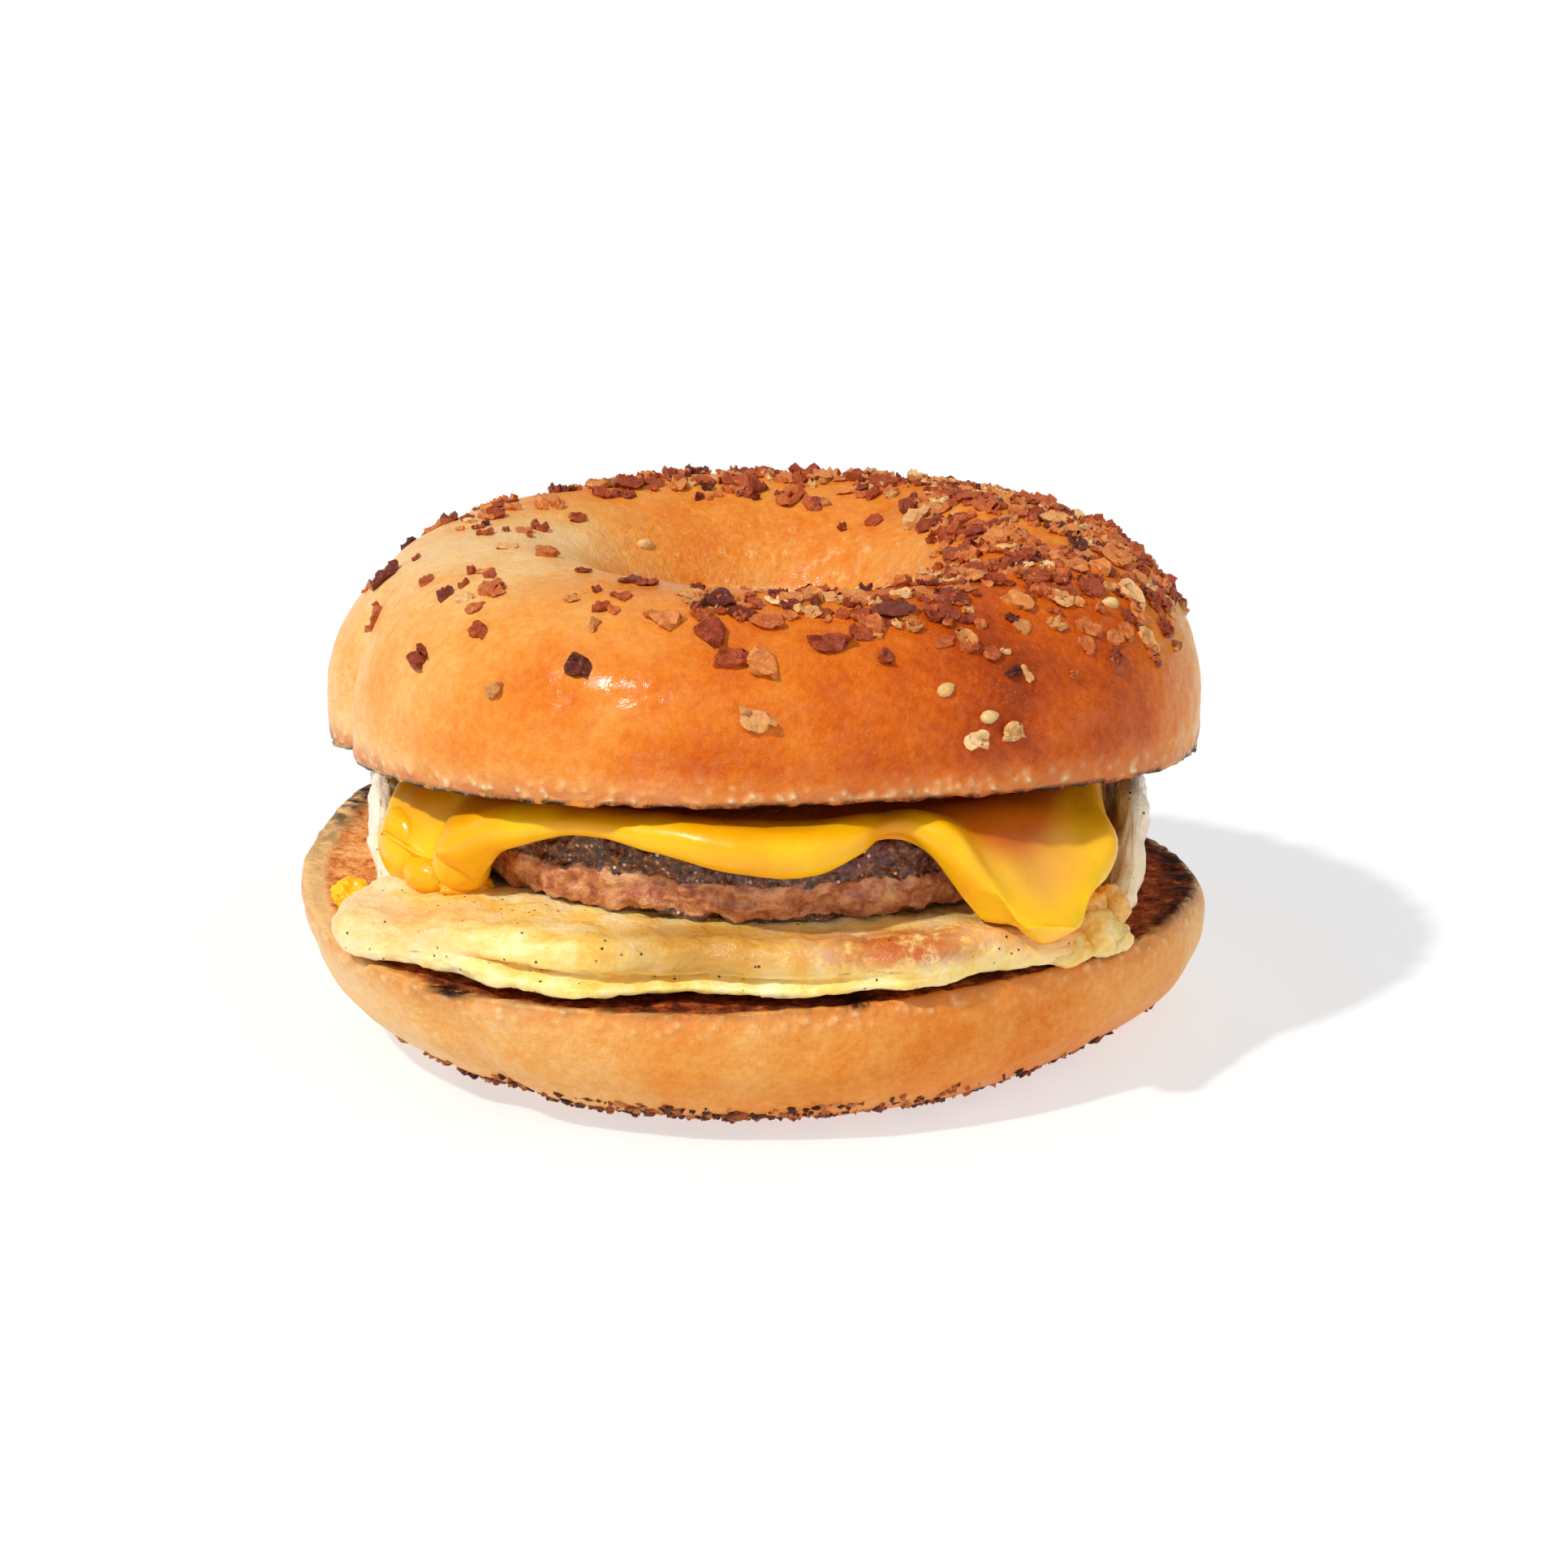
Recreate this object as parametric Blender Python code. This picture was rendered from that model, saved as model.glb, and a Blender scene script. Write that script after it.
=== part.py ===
"""Toasted breakfast bagel: a halved bagel with a folded egg, a sausage patty and melted cheese between the halves.

Metres, +Z up. The sandwich stands on its heel at the origin, the open side of the filling looks along -Y.
"""

import math
import random

import bmesh
import bpy
from mathutils import Matrix, Vector, noise

MM = 0.001
GAP = 0.3 * MM

# Bagel heel: the lower half, a flat-bottomed ring with a sloping cut face
HEEL_RADIUS = 57.3 * MM
HEEL_HOLE = 12.5 * MM
HEEL_HEIGHT = 18.4 * MM
HEEL_BELLY_BELOW_CUT = 4.0 * MM
HEEL_ROUNDNESS = 2.5
HEEL_CUT_SLOPE_X = -0.036
HEEL_CUT_TWIST = -0.9
HEEL_LEFT_RISE = 0.8 * MM
HEEL_RIGHT_DIP = 1.2 * MM
HEEL_UNDERSIDE_TRIM = 0.7 * MM
HEEL_STEPS = 64

# Bagel crown: the upper half, leaning back on the filling
CROWN_RADIUS = 53.2 * MM
CROWN_HOLE = 13.0 * MM
CROWN_HEIGHT = 24.0 * MM
CROWN_BELLY_ABOVE_CUT = 5.0 * MM
CROWN_ROUNDNESS = 2.15
CROWN_HOLE_ROUNDNESS = 1.9
CROWN_THICKER_AT_BACK = 0.05
CROWN_RIM_SAG = 2.2 * MM
CROWN_CENTRE_X = 0.7 * MM
CROWN_CUT_HEIGHT = 37.9 * MM
CROWN_LEAN = math.atan(0.098)
CROWN_STEPS = 72

# Onion flakes and seeds baked onto the crown
FLAKE_COUNT = 104
FLAKE_LENGTH = (1.9 * MM, 4.0 * MM)
FLAKE_HEIGHT = (0.8 * MM, 1.3 * MM)
FLAKE_SPACING = 2.3 * MM
# The flakes and seeds that stand out: azimuth and station in degrees, length and width in millimetres
KNOWN_FLAKES = (
    (-65.5, 71, 7.0, 3.6),
    (-89.0, 65, 5.0, 2.8),
    (-106.0, 64, 4.4, 3.0),
    (-99.0, 78, 5.4, 3.4),
    (-94.5, 45, 4.6, 2.4),
    (-79.5, 52, 4.8, 3.0),
    (-116.5, 37, 3.2, 2.6),
    (-144.0, 31, 3.2, 2.4),
    (-128.0, 24, 2.6, 2.0),
    (-56.5, 16, 3.2, 2.4),
    (-58.8, 8, 3.0, 2.4),
    (-53.4, 9, 3.0, 2.2),
    (-62.5, 29, 3.0, 2.0),
    (-91.0, 19, 4.0, 3.0),
    (45.0, 110, 4.2, 2.8),
    (137.0, 129, 2.6, 1.9),
)

# Folded egg: thicker at the front fold, its sides curl up beside the patty
EGG_HALF_WIDTH = 47.0 * MM
EGG_FRONT_REACH = 53.5 * MM
EGG_BACK_REACH = 46.0 * MM
EGG_SQUARENESS = 3.2
EGG_LEFT_FLAP = 9.0 * MM
EGG_RIGHT_FLAP = 12.5 * MM
EGG_FLAP_START = 41.7 * MM
EGG_MIDDLE_X = -0.2 * MM
EGG_FLAP_BEND = 4.8 * MM
EGG_FRONT_SHIFT = -2.6 * MM
EGG_FLAP_THICKNESS = 3.4 * MM
EGG_STEPS = 54

# Sausage patty
PATTY_RADIUS = 42.5 * MM
PATTY_CENTRE = (0.0, -4.0 * MM)
PATTY_BOTTOM = 24.4 * MM
PATTY_SLOPE_X = -0.015
PATTY_SLOPE_Y = -0.040
PATTY_THICKNESS = 9.2 * MM
PATTY_TAPER_Y = -0.030
PATTY_STEPS = 52

# Cheese slice: a square slice melted over the patty, two corners hang at the front
CHEESE_THICKNESS = 2.6 * MM
CHEESE_BEND_START = 40.0 * MM
CHEESE_BEND_SHARE = 0.6
CHEESE_STEPS = 64
# Edge of the melted slice: azimuth in degrees, then in millimetres its distance from the patty's middle,
# its drop below the slice and the thickness of its bead
CHEESE_EDGE = (
    (-180, 42.4, 1.4, 0.4),
    (-170, 42.4, 2.0, 0.6),
    (-166, 43.0, 3.8, 1.0),
    (-162, 44.6, 9.0, 2.0),
    (-157, 46.0, 14.6, 2.6),
    (-151, 45.6, 13.6, 2.2),
    (-146, 45.0, 11.2, 1.6),
    (-140, 45.4, 11.2, 2.8),
    (-133, 45.0, 5.6, 1.8),
    (-120, 44.8, 2.0, 0.9),
    (-112, 44.8, 1.8, 0.9),
    (-102, 45.6, 3.2, 1.8),
    (-93, 46.4, 4.5, 2.5),
    (-82, 46.4, 4.8, 2.5),
    (-74, 45.2, 2.8, 1.2),
    (-69, 43.2, 0.9, 0.3),
    (-65, 43.8, 1.2, 0.6),
    (-61.5, 45.4, 3.8, 1.2),
    (-57, 47.2, 9.8, 1.6),
    (-54, 50.2, 14.0, 1.8),
    (-50.5, 52.6, 16.2, 2.0),
    (-46, 52.6, 15.6, 1.8),
    (-39, 50.6, 12.6, 1.6),
    (-32, 47.8, 10.4, 1.8),
    (-25, 45.4, 7.4, 1.4),
    (-17, 43.4, 3.6, 0.9),
    (-6, 42.6, 1.8, 0.5),
    (60, 43.4, 1.4, 0.4),
    (130, 43.4, 1.4, 0.4),
)
# Lobes and hollows of the melted part: azimuth and its width in degrees, share of the way down and its
# width, height in millimetres
CHEESE_LOBES = (
    (-157, 6, 0.55, 0.30, 2.4),
    (-148.5, 2.5, 0.65, 0.35, -0.8),
    (-140, 5, 0.55, 0.28, 2.5),
    (-100, 8, 0.80, 0.40, 0.6),
    (-58, 3.5, 0.60, 0.40, 1.6),
    (-50, 6, 0.92, 0.15, 1.2),
    (-46, 6, 0.50, 0.28, -1.0),
    (-31, 5, 0.72, 0.20, 2.2),
)

SEED = 41


def smooth(low, high, value):
    """Rises smoothly from 0 at low to 1 at high."""
    share = min(1.0, max(0.0, (value - low) / (high - low)))
    return share * share * (3.0 - 2.0 * share)


def turn_between(angle, centre):
    """Angle from centre, between -pi and pi."""
    return (angle - centre + math.pi) % (2.0 * math.pi) - math.pi


def bump(angle, centre, width):
    """A soft bump of height 1 round an azimuth, in radians."""
    return math.exp(-((turn_between(angle, centre) / width) ** 2))


def wave(azimuth, terms):
    """Sum of outline waves, each an amplitude, a count and the azimuth of a crest."""
    total = 0.0
    for amplitude, count, crest in terms:
        total += amplitude * MM * math.cos(count * (azimuth - math.radians(crest)))
    return total


def power(value, exponent):
    """Power that keeps the sign."""
    return math.copysign(abs(value) ** exponent, value)


def lump(x, y, z, size, seed):
    """Smooth noise between about -1 and 1, with lumps of the given size."""
    return noise.noise(Vector((x / size + seed, y / size, z / size)))


def heel_cut(x, y):
    """Height of the heel's cut face."""
    azimuth = math.atan2(y, x)
    rim = HEEL_LEFT_RISE * bump(azimuth, math.radians(168.0), 0.40)
    rim -= HEEL_RIGHT_DIP * bump(azimuth, math.radians(25.0), 0.45)
    plane = HEEL_HEIGHT + HEEL_CUT_SLOPE_X * x + HEEL_CUT_TWIST * x * y
    return plane + rim * smooth(44.0 * MM, 56.0 * MM, math.hypot(x, y))


def patty_bottom(x, y):
    """Height of the patty's underside."""
    return PATTY_BOTTOM + PATTY_SLOPE_X * x + PATTY_SLOPE_Y * y


def patty_top(x, y):
    """Height of the patty's upper side."""
    return patty_bottom(x, y) + PATTY_THICKNESS + PATTY_TAPER_Y * y


def new_object(name, mesh_data, colour, roughness):
    """Links a smooth-shaded object with its own material."""
    mesh = bpy.data.meshes.new(name)
    mesh_data.to_mesh(mesh)
    mesh_data.free()
    material = bpy.data.materials.new(name + "_surface")
    material.use_nodes = True
    shader = material.node_tree.nodes["Principled BSDF"]
    shader.inputs["Base Color"].default_value = (*colour, 1.0)
    shader.inputs["Roughness"].default_value = roughness
    mesh.materials.append(material)
    for face in mesh.polygons:
        face.use_smooth = True
    made = bpy.data.objects.new(name, mesh)
    bpy.context.scene.collection.objects.link(made)
    return made


def spun(profile, steps, closed):
    """Turns a profile of (radius, height) points about the Z axis into one closed skin."""
    turned = bmesh.new()
    points = [turned.verts.new((radius, 0.0, height)) for radius, height in profile]
    pairs = list(zip(points, points[1:]))
    if closed:
        pairs.append((points[-1], points[0]))
    edges = [turned.edges.new(pair) for pair in pairs]
    bmesh.ops.spin(
        turned, geom=points + edges, cent=(0, 0, 0), axis=(0, 0, 1), angle=2.0 * math.pi, steps=steps
    )
    bmesh.ops.remove_doubles(turned, verts=turned.verts, dist=1e-5)
    bmesh.ops.recalc_face_normals(turned, faces=turned.faces)
    return turned


def half_ring_profile(hole, radius, cut, belly, far, roundness, hole_roundness, beyond, stations, face_cuts):
    """Closed section of half a bagel: the crust from rim to rim, then the flat cut face.

    The section's belly is at height belly, the crust ends at the height cut on one side and far on the
    other. The curve would close at the distance beyond past the belly if it were not cut.
    """
    middle = (radius + hole) / 2.0
    half = (radius - hole) / 2.0
    side = math.copysign(1.0, far - belly)
    short = abs(cut - belly)
    start = -math.asin((short / beyond) ** (roundness / 2.0))
    points = []
    for step in range(stations + 1):
        angle = start + (math.pi - 2.0 * start) * step / stations
        bend = 2.0 / (roundness if math.cos(angle) > 0.0 else hole_roundness)
        across = power(math.cos(angle), bend)
        along = power(math.sin(angle), bend)
        reach = abs(far - belly) if along > 0.0 else beyond
        points.append((middle + half * across, belly + side * reach * along))
    inner = points[-1][0]
    outer = points[0][0]
    for step in range(1, face_cuts):
        points.append((inner + (outer - inner) * step / face_cuts, cut))
    return points


def heel_form(point):
    """Moves a point of the plain ring to its place on the real heel."""
    azimuth = math.atan2(point.y, point.x)
    radius = math.hypot(point.x, point.y)
    outer = smooth(30.0 * MM, 52.0 * MM, radius)
    height = max(0.0, point.z - HEEL_UNDERSIDE_TRIM) * HEEL_HEIGHT / (HEEL_HEIGHT - HEEL_UNDERSIDE_TRIM)
    share = height / HEEL_HEIGHT
    grown = wave(azimuth, ((1.7, 1, -171), (1.7, 2, 45), (0.8, 3, -15), (0.6, 4, 40)))
    seam = math.radians(-131.0) + 0.10 * (1.0 - share)
    crease = -1.3 * MM * bump(azimuth, seam, 0.07) * smooth(1.0, 0.8, share)
    step = 1.1 * MM * bump(azimuth, seam + 0.16, 0.13) * (1.0 - share)
    spread = outer * (grown + crease + step)
    low = max(0.0, 1.0 - share)
    spread -= 8.5 * MM * outer * low * bump(azimuth, math.radians(-138.0), 0.72)
    spread -= 3.0 * MM * outer * low * bump(azimuth, math.radians(-38.0), 0.42)
    spread += 1.6 * MM * outer * bump(azimuth, math.radians(2.0), 0.40)
    spread += 1.0 * MM * outer * (smooth(0.7, 1.0, share) - 0.6) * bump(azimuth, math.pi, 0.7)
    spread += 0.5 * MM * outer * lump(point.x, point.y, point.z, 14.0 * MM, 3.0)
    hole_wave = wave(azimuth, ((0.8, 2, 70), (0.5, 3, 20)))
    inner = smooth(26.0 * MM, 14.0 * MM, radius)
    radius += spread + inner * hole_wave
    x = radius * math.cos(azimuth)
    y = radius * math.sin(azimuth)
    height *= heel_cut(x, y) / HEEL_HEIGHT
    return Vector((x, y, height))


def crown_form(point):
    """Moves a point of the plain ring to its place on the real crown, in the crown's own frame."""
    azimuth = math.atan2(point.y, point.x)
    radius = math.hypot(point.x, point.y)
    outer = smooth(30.0 * MM, 50.0 * MM, radius)
    share = point.z / CROWN_HEIGHT
    grown = wave(azimuth, ((0.5, 1, 100), (1.3, 2, 12), (0.9, 3, -7), (0.5, 4, -14)))
    seam = math.radians(-168.0)
    crease = -2.2 * MM * bump(azimuth, seam, 0.075) * smooth(0.95, 0.5, share)
    lobe = 1.3 * MM * bump(azimuth, seam - 0.22, 0.14) * smooth(0.9, 0.3, share)
    spread = outer * (grown + crease + lobe)
    spread += 0.6 * MM * outer * lump(point.x, point.y, point.z, 16.0 * MM, 9.0) * smooth(0.0, 0.2, share)
    inner = smooth(24.0 * MM, 13.0 * MM, radius)
    spread += inner * wave(azimuth, ((0.9, 2, 10), (0.6, 3, 80)))
    radius += spread
    x = radius * math.cos(azimuth)
    y = radius * math.sin(azimuth)
    height = point.z
    height += share * (CROWN_THICKER_AT_BACK * point.y + wave(azimuth, ((0.5, 2, 35), (0.4, 3, 10))))
    height += 0.5 * MM * share * lump(point.x, point.y, 0.0, 18.0 * MM, 5.0)
    sag = smooth(42.0 * MM, 52.0 * MM, radius) * (x / CROWN_RADIUS) ** 2
    height -= CROWN_RIM_SAG * (1.0 - share) * sag
    return Vector((x, y, height))


def crown_skin(azimuth, station):
    """Point of the crown's crust: station 0 is the belly, a quarter turn the ridge, a half turn the hole."""
    middle = (CROWN_RADIUS + CROWN_HOLE) / 2.0
    half = (CROWN_RADIUS - CROWN_HOLE) / 2.0
    bend = 2.0 / (CROWN_ROUNDNESS if math.cos(station) > 0.0 else CROWN_HOLE_ROUNDNESS)
    across = middle + half * power(math.cos(station), bend)
    along = power(math.sin(station), bend)
    rise = CROWN_HEIGHT - CROWN_BELLY_ABOVE_CUT
    plain = Vector(
        (across * math.cos(azimuth), across * math.sin(azimuth), CROWN_BELLY_ABOVE_CUT + rise * along)
    )
    return crown_form(plain)


def crown_seat(azimuth, station):
    """Point on the crust, with the direction that looks out of it."""
    small = 0.02
    here = crown_skin(azimuth, station)
    round_way = crown_skin(azimuth + small, station) - crown_skin(azimuth - small, station)
    up_way = crown_skin(azimuth, station + small) - crown_skin(azimuth, station - small)
    return here, round_way.cross(up_way).normalized()


def flake_share(azimuth, station):
    """How thickly the flakes lie at a place on the crown, from 0 to 1."""
    right = bump(azimuth, math.radians(-4.0), 0.85) * math.exp(-(((station - 1.35) / 0.75) ** 2))
    back = 0.7 * bump(azimuth, math.radians(95.0), 0.95) * math.exp(-(((station - 1.40) / 0.45) ** 2))
    front = 0.75 * bump(azimuth, math.radians(-86.0), 0.55) * math.exp(-(((station - 1.35) / 0.28) ** 2))
    left = 0.17 * bump(azimuth, math.radians(180.0), 0.95) * math.exp(-(((station - 1.15) / 0.6) ** 2))
    return right + back + front + left


def drawn_flakes():
    """Seats, lengths, widths, heights and turns of all flakes, the well-known ones first."""
    draws = random.Random(SEED)
    flakes = []
    for azimuth, station, length, width in KNOWN_FLAKES:
        place = crown_seat(math.radians(azimuth), math.radians(station))
        flakes.append((*place, length * MM, width * MM, 1.2 * MM, draws.uniform(-0.5, 0.5)))
    while len(flakes) < FLAKE_COUNT + len(KNOWN_FLAKES):
        azimuth = draws.uniform(-math.pi, math.pi)
        station = math.radians(draws.uniform(30.0, 128.0))
        length = draws.uniform(*FLAKE_LENGTH)
        width = length * draws.uniform(0.55, 0.85)
        height = draws.uniform(*FLAKE_HEIGHT)
        turn = draws.uniform(0.0, math.pi)
        if draws.random() > flake_share(azimuth, station):
            continue
        seat, outward = crown_seat(azimuth, station)
        if any((seat - other[0]).length < FLAKE_SPACING + 0.2 * other[2] for other in flakes):
            continue
        flakes.append((seat, outward, length, width, height, turn))
    return flakes


def flake_object(number, seat, outward, length, width, height, turn):
    """A rough lozenge half sunk in the crust."""
    draws = random.Random(SEED + number)
    chip = bmesh.new()
    bmesh.ops.create_icosphere(chip, subdivisions=1, radius=1.0)
    for vertex in chip.verts:
        vertex.co *= draws.uniform(0.82, 1.15)
    size = Matrix.Diagonal((length / 2.0, width / 2.0, height, 1.0))
    upright = outward.to_track_quat("Z", "Y").to_matrix().to_4x4()
    place = Matrix.Translation(seat) @ upright @ Matrix.Rotation(turn, 4, "Z") @ size
    bmesh.ops.transform(chip, matrix=place, verts=chip.verts)
    return new_object("flake_%03d" % number, chip, (0.35, 0.12, 0.05), 0.5)


def fuse_flakes(onto):
    """Joins all flakes to the crown in one union."""
    group = bpy.data.collections.new("flakes")
    bpy.context.scene.collection.children.link(group)
    for number, flake in enumerate(drawn_flakes()):
        chip = flake_object(number, *flake)
        bpy.context.scene.collection.objects.unlink(chip)
        group.objects.link(chip)
    union = onto.modifiers.new("flakes", "BOOLEAN")
    union.operation = "UNION"
    union.operand_type = "COLLECTION"
    union.collection = group
    union.solver = "EXACT"
    bpy.context.view_layer.objects.active = onto
    bpy.ops.object.modifier_apply(modifier=union.name)
    for chip in list(group.objects):
        bpy.data.objects.remove(chip, do_unlink=True)
    bpy.data.collections.remove(group)
    while len(onto.data.materials) > 1:
        onto.data.materials.pop(index=len(onto.data.materials) - 1)


def egg_reach(azimuth):
    """Distance from the middle to the edge of the flat egg, before its sides are curled."""
    across = abs(math.cos(azimuth))
    along = abs(math.sin(azimuth))
    depth = EGG_FRONT_REACH if azimuth < 0.0 else EGG_BACK_REACH
    reach = (across / EGG_HALF_WIDTH) ** EGG_SQUARENESS + (along / depth) ** EGG_SQUARENESS
    reach = reach ** (-1.0 / EGG_SQUARENESS)
    reach += EGG_RIGHT_FLAP * math.exp(-((azimuth / 0.42) ** 4))
    reach += EGG_LEFT_FLAP * math.exp(-((turn_between(azimuth, math.pi) / 0.32) ** 4))
    reach += 6.0 * MM * bump(azimuth, math.radians(-143.0), 0.13)
    reach -= 2.2 * MM * bump(azimuth, math.radians(-51.0), 0.11)
    reach += wave(azimuth, ((0.6, 11, 20), (0.5, 17, 40)))
    return reach


def egg_form(point):
    """Places a point of the plain disc, whose radius is 1 and whose height runs from -1 to 1."""
    azimuth = math.atan2(point.y, point.x)
    share = math.hypot(point.x, point.y)
    edge = smooth(0.8, 1.0, share)
    degrees = math.degrees(azimuth)
    front = smooth(-128.0, -120.0, degrees) * smooth(-62.0, -92.0, degrees)
    groove = 0.22 * smooth(-98.0, -126.0, degrees) - 0.22
    fold = -1.9 * MM * front * edge * math.exp(-(((point.z - groove) / 0.16) ** 2))
    fold += 1.0 * MM * front * edge * smooth(groove, groove - 0.25, point.z)
    fold += 1.1 * MM * edge * bump(azimuth, math.radians(-44.0), 0.07)
    under = smooth(-150.0, -132.0, degrees) * smooth(-32.0, -52.0, degrees)
    fold -= 3.2 * MM * under * edge * smooth(-0.62, -0.92, point.z)
    fold += 0.9 * MM * edge * lump(point.x * 52.0 * MM, point.y * 52.0 * MM, point.z * 3.0 * MM, 7.0 * MM, 12.0)
    radius = share * egg_reach(azimuth) + fold
    y = radius * math.sin(azimuth)
    x = radius * math.cos(azimuth) + EGG_FRONT_SHIFT * smooth(-14.0 * MM, -36.0 * MM, y)
    bottom = heel_cut(x, y) + GAP
    thick = patty_bottom(x, y) - GAP - bottom
    side = x - EGG_MIDDLE_X
    front_end, full_from = (-20.0 * MM, -13.0 * MM) if side < 0.0 else (-33.0 * MM, -20.0 * MM)
    bent = smooth(front_end, full_from, y) * smooth(30.0 * MM, 18.0 * MM, y)
    thin = smooth(34.0 * MM, 43.0 * MM, abs(side)) * (0.35 + 0.65 * bent)
    thin = max(thin, smooth(36.0 * MM, 46.0 * MM, y))
    thick = thick + (EGG_FLAP_THICKNESS - thick) * thin
    level = (point.z + 1.0) / 2.0 * thick
    over = abs(side) - EGG_FLAP_START
    if over > 0.0 and bent > 0.0:
        limit = math.radians(84.0) * bent
        angle = min(limit, over / EGG_FLAP_BEND)
        straight = over - angle * EGG_FLAP_BEND
        arm = EGG_FLAP_BEND - (level - thick / 2.0)
        reach = EGG_FLAP_START + arm * math.sin(angle) + straight * math.cos(angle)
        bottom = heel_cut(EGG_MIDDLE_X + math.copysign(EGG_FLAP_START, side), y) + GAP
        level = thick / 2.0 + EGG_FLAP_BEND - arm * math.cos(angle) + straight * math.sin(angle)
        x = EGG_MIDDLE_X + math.copysign(reach, side)
    return Vector((x, y, bottom + level))


def egg_top(x, y):
    """Height of the egg's upper side where it lies flat."""
    bottom = heel_cut(x, y) + GAP
    thick = patty_bottom(x, y) - GAP - bottom
    thin = 0.35 * smooth(34.0 * MM, 43.0 * MM, abs(x - EGG_MIDDLE_X))
    return bottom + thick + (EGG_FLAP_THICKNESS - thick) * thin


def patty_form(point):
    """Places a point of the plain disc on the patty."""
    azimuth = math.atan2(point.y, point.x)
    share = math.hypot(point.x, point.y)
    edge = smooth(0.75, 1.0, share)
    reach = PATTY_RADIUS + wave(azimuth, ((0.4, 3, 30), (0.3, 7, 10), (0.25, 12, 0))) - 0.8 * MM
    x = PATTY_CENTRE[0] + share * reach * math.cos(azimuth)
    y = PATTY_CENTRE[1] + share * reach * math.sin(azimuth)
    dent = 0.7 * MM * edge * lump(x, y, point.z * 5.0 * MM, 5.0 * MM, 2.0)
    x += dent * math.cos(azimuth)
    y += dent * math.sin(azimuth)
    low = patty_bottom(x, y)
    high = patty_top(x, y)
    return Vector((x, y, low + (high - low) * (point.z + 1.0) / 2.0))


def through(degrees, column):
    """Smooth closed curve through one column of the cheese's edge table."""
    count = len(CHEESE_EDGE)
    degrees = (degrees + 180.0) % 360.0 - 180.0
    first = max(row for row in range(count) if CHEESE_EDGE[row][0] <= degrees)
    places = [CHEESE_EDGE[(first + step) % count] for step in (-1, 0, 1, 2)]
    gaps = [(there[0] - here[0]) % 360.0 for here, there in zip(places, places[1:])]
    slope = (places[2][column] - places[0][column]) / (gaps[0] + gaps[1])
    next_slope = (places[3][column] - places[1][column]) / (gaps[1] + gaps[2])
    share = (degrees - places[1][0]) / gaps[1]
    rest = 1.0 - share
    eased = share * share * (3.0 - 2.0 * share)
    lean = share * rest * gaps[1] * (slope * rest - next_slope * share)
    return places[1][column] + (places[2][column] - places[1][column]) * eased + lean


def cheese_path(reach, drop, share):
    """Distance out and drop of the melted edge, share 0 at the bend and 1 at the rim."""
    turn = share * math.pi / 2.0
    out = CHEESE_BEND_START + (reach - CHEESE_BEND_START) * math.sin(turn) ** 1.05
    return out, drop * max(0.0, 1.0 - math.cos(turn)) ** 0.85


def cheese_form(point):
    """Drapes a point of the plain disc over the patty, where the slice has melted down its side."""
    azimuth = math.atan2(point.y, point.x)
    degrees = math.degrees(azimuth)
    share = math.hypot(point.x, point.y)
    reach = through(degrees, 1) * MM
    fall = through(degrees, 2) * MM
    bead = through(degrees, 3) * MM
    past = max(0.0, (share - CHEESE_BEND_SHARE) / (1.0 - CHEESE_BEND_SHARE))
    out, drop = cheese_path(reach, fall, past)
    before = cheese_path(reach, fall, max(0.0, past - 0.02))
    after = cheese_path(reach, fall, max(0.0, past - 0.02) + 0.02)
    angle = math.atan2(after[1] - before[1], after[0] - before[0]) * smooth(0.0, 0.06, past)
    if past == 0.0:
        out = CHEESE_BEND_START * share / CHEESE_BEND_SHARE
    left = (1.0 - past) * math.hypot(reach - CHEESE_BEND_START, fall)
    extra = bead * math.exp(-(((left - 2.4 * MM) / (3.2 * MM)) ** 2)) * smooth(0.0, 0.25, past)
    for centre, width, place, spread, height in CHEESE_LOBES:
        away = ((degrees - centre + 180.0) % 360.0 - 180.0) / width
        swell = math.exp(-(away**2) - ((past - place) / spread) ** 2)
        extra += height * MM * swell * smooth(0.0, 0.3, past)
    rounding = 0.9 * MM + 0.7 * bead
    full = math.sqrt(max(0.06, 1.0 - max(0.0, 1.0 - left / rounding) ** 2))
    lift = (point.z * CHEESE_THICKNESS / 2.0 + max(0.0, point.z) * extra) * full
    out += lift * math.sin(angle)
    x = PATTY_CENTRE[0] + out * math.cos(azimuth)
    y = PATTY_CENTRE[1] + out * math.sin(azimuth)
    height = patty_top(x, y) + GAP + CHEESE_THICKNESS / 2.0 - drop + lift * math.cos(angle)
    if past > 0.0:
        rest = (point.z + 1.0) / 2.0 * (CHEESE_THICKNESS + extra) * full
        edge = egg_reach(math.atan2(y, x)) - math.hypot(x, y)
        slip = 4.5 * MM * smooth(1.5 * MM, -2.5 * MM, edge)
        height = max(height, egg_top(x, y) + GAP + rest - slip)
    return Vector((x, y, height))


def disc_profile(inner_cuts, edge_from, edge_cuts):
    """Section of a plain disc of radius 1 and height -1 to 1, with a rounded edge."""
    points = [(edge_from * step / inner_cuts, -1.0) for step in range(inner_cuts)]
    for step in range(edge_cuts + 1):
        angle = -math.pi / 2.0 + math.pi * step / edge_cuts
        out = abs(math.cos(angle)) ** 0.8
        points.append((edge_from + (1.0 - edge_from) * out, power(math.sin(angle), 0.8)))
    points += [(edge_from * step / inner_cuts, 1.0) for step in reversed(range(inner_cuts))]
    return points


def make_ring(name, profile, steps, form, colour):
    """A half bagel from its section and its form."""
    skin = spun(profile, steps, True)
    for vertex in skin.verts:
        vertex.co = form(vertex.co)
    return new_object(name, skin, colour, 0.55)


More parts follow.
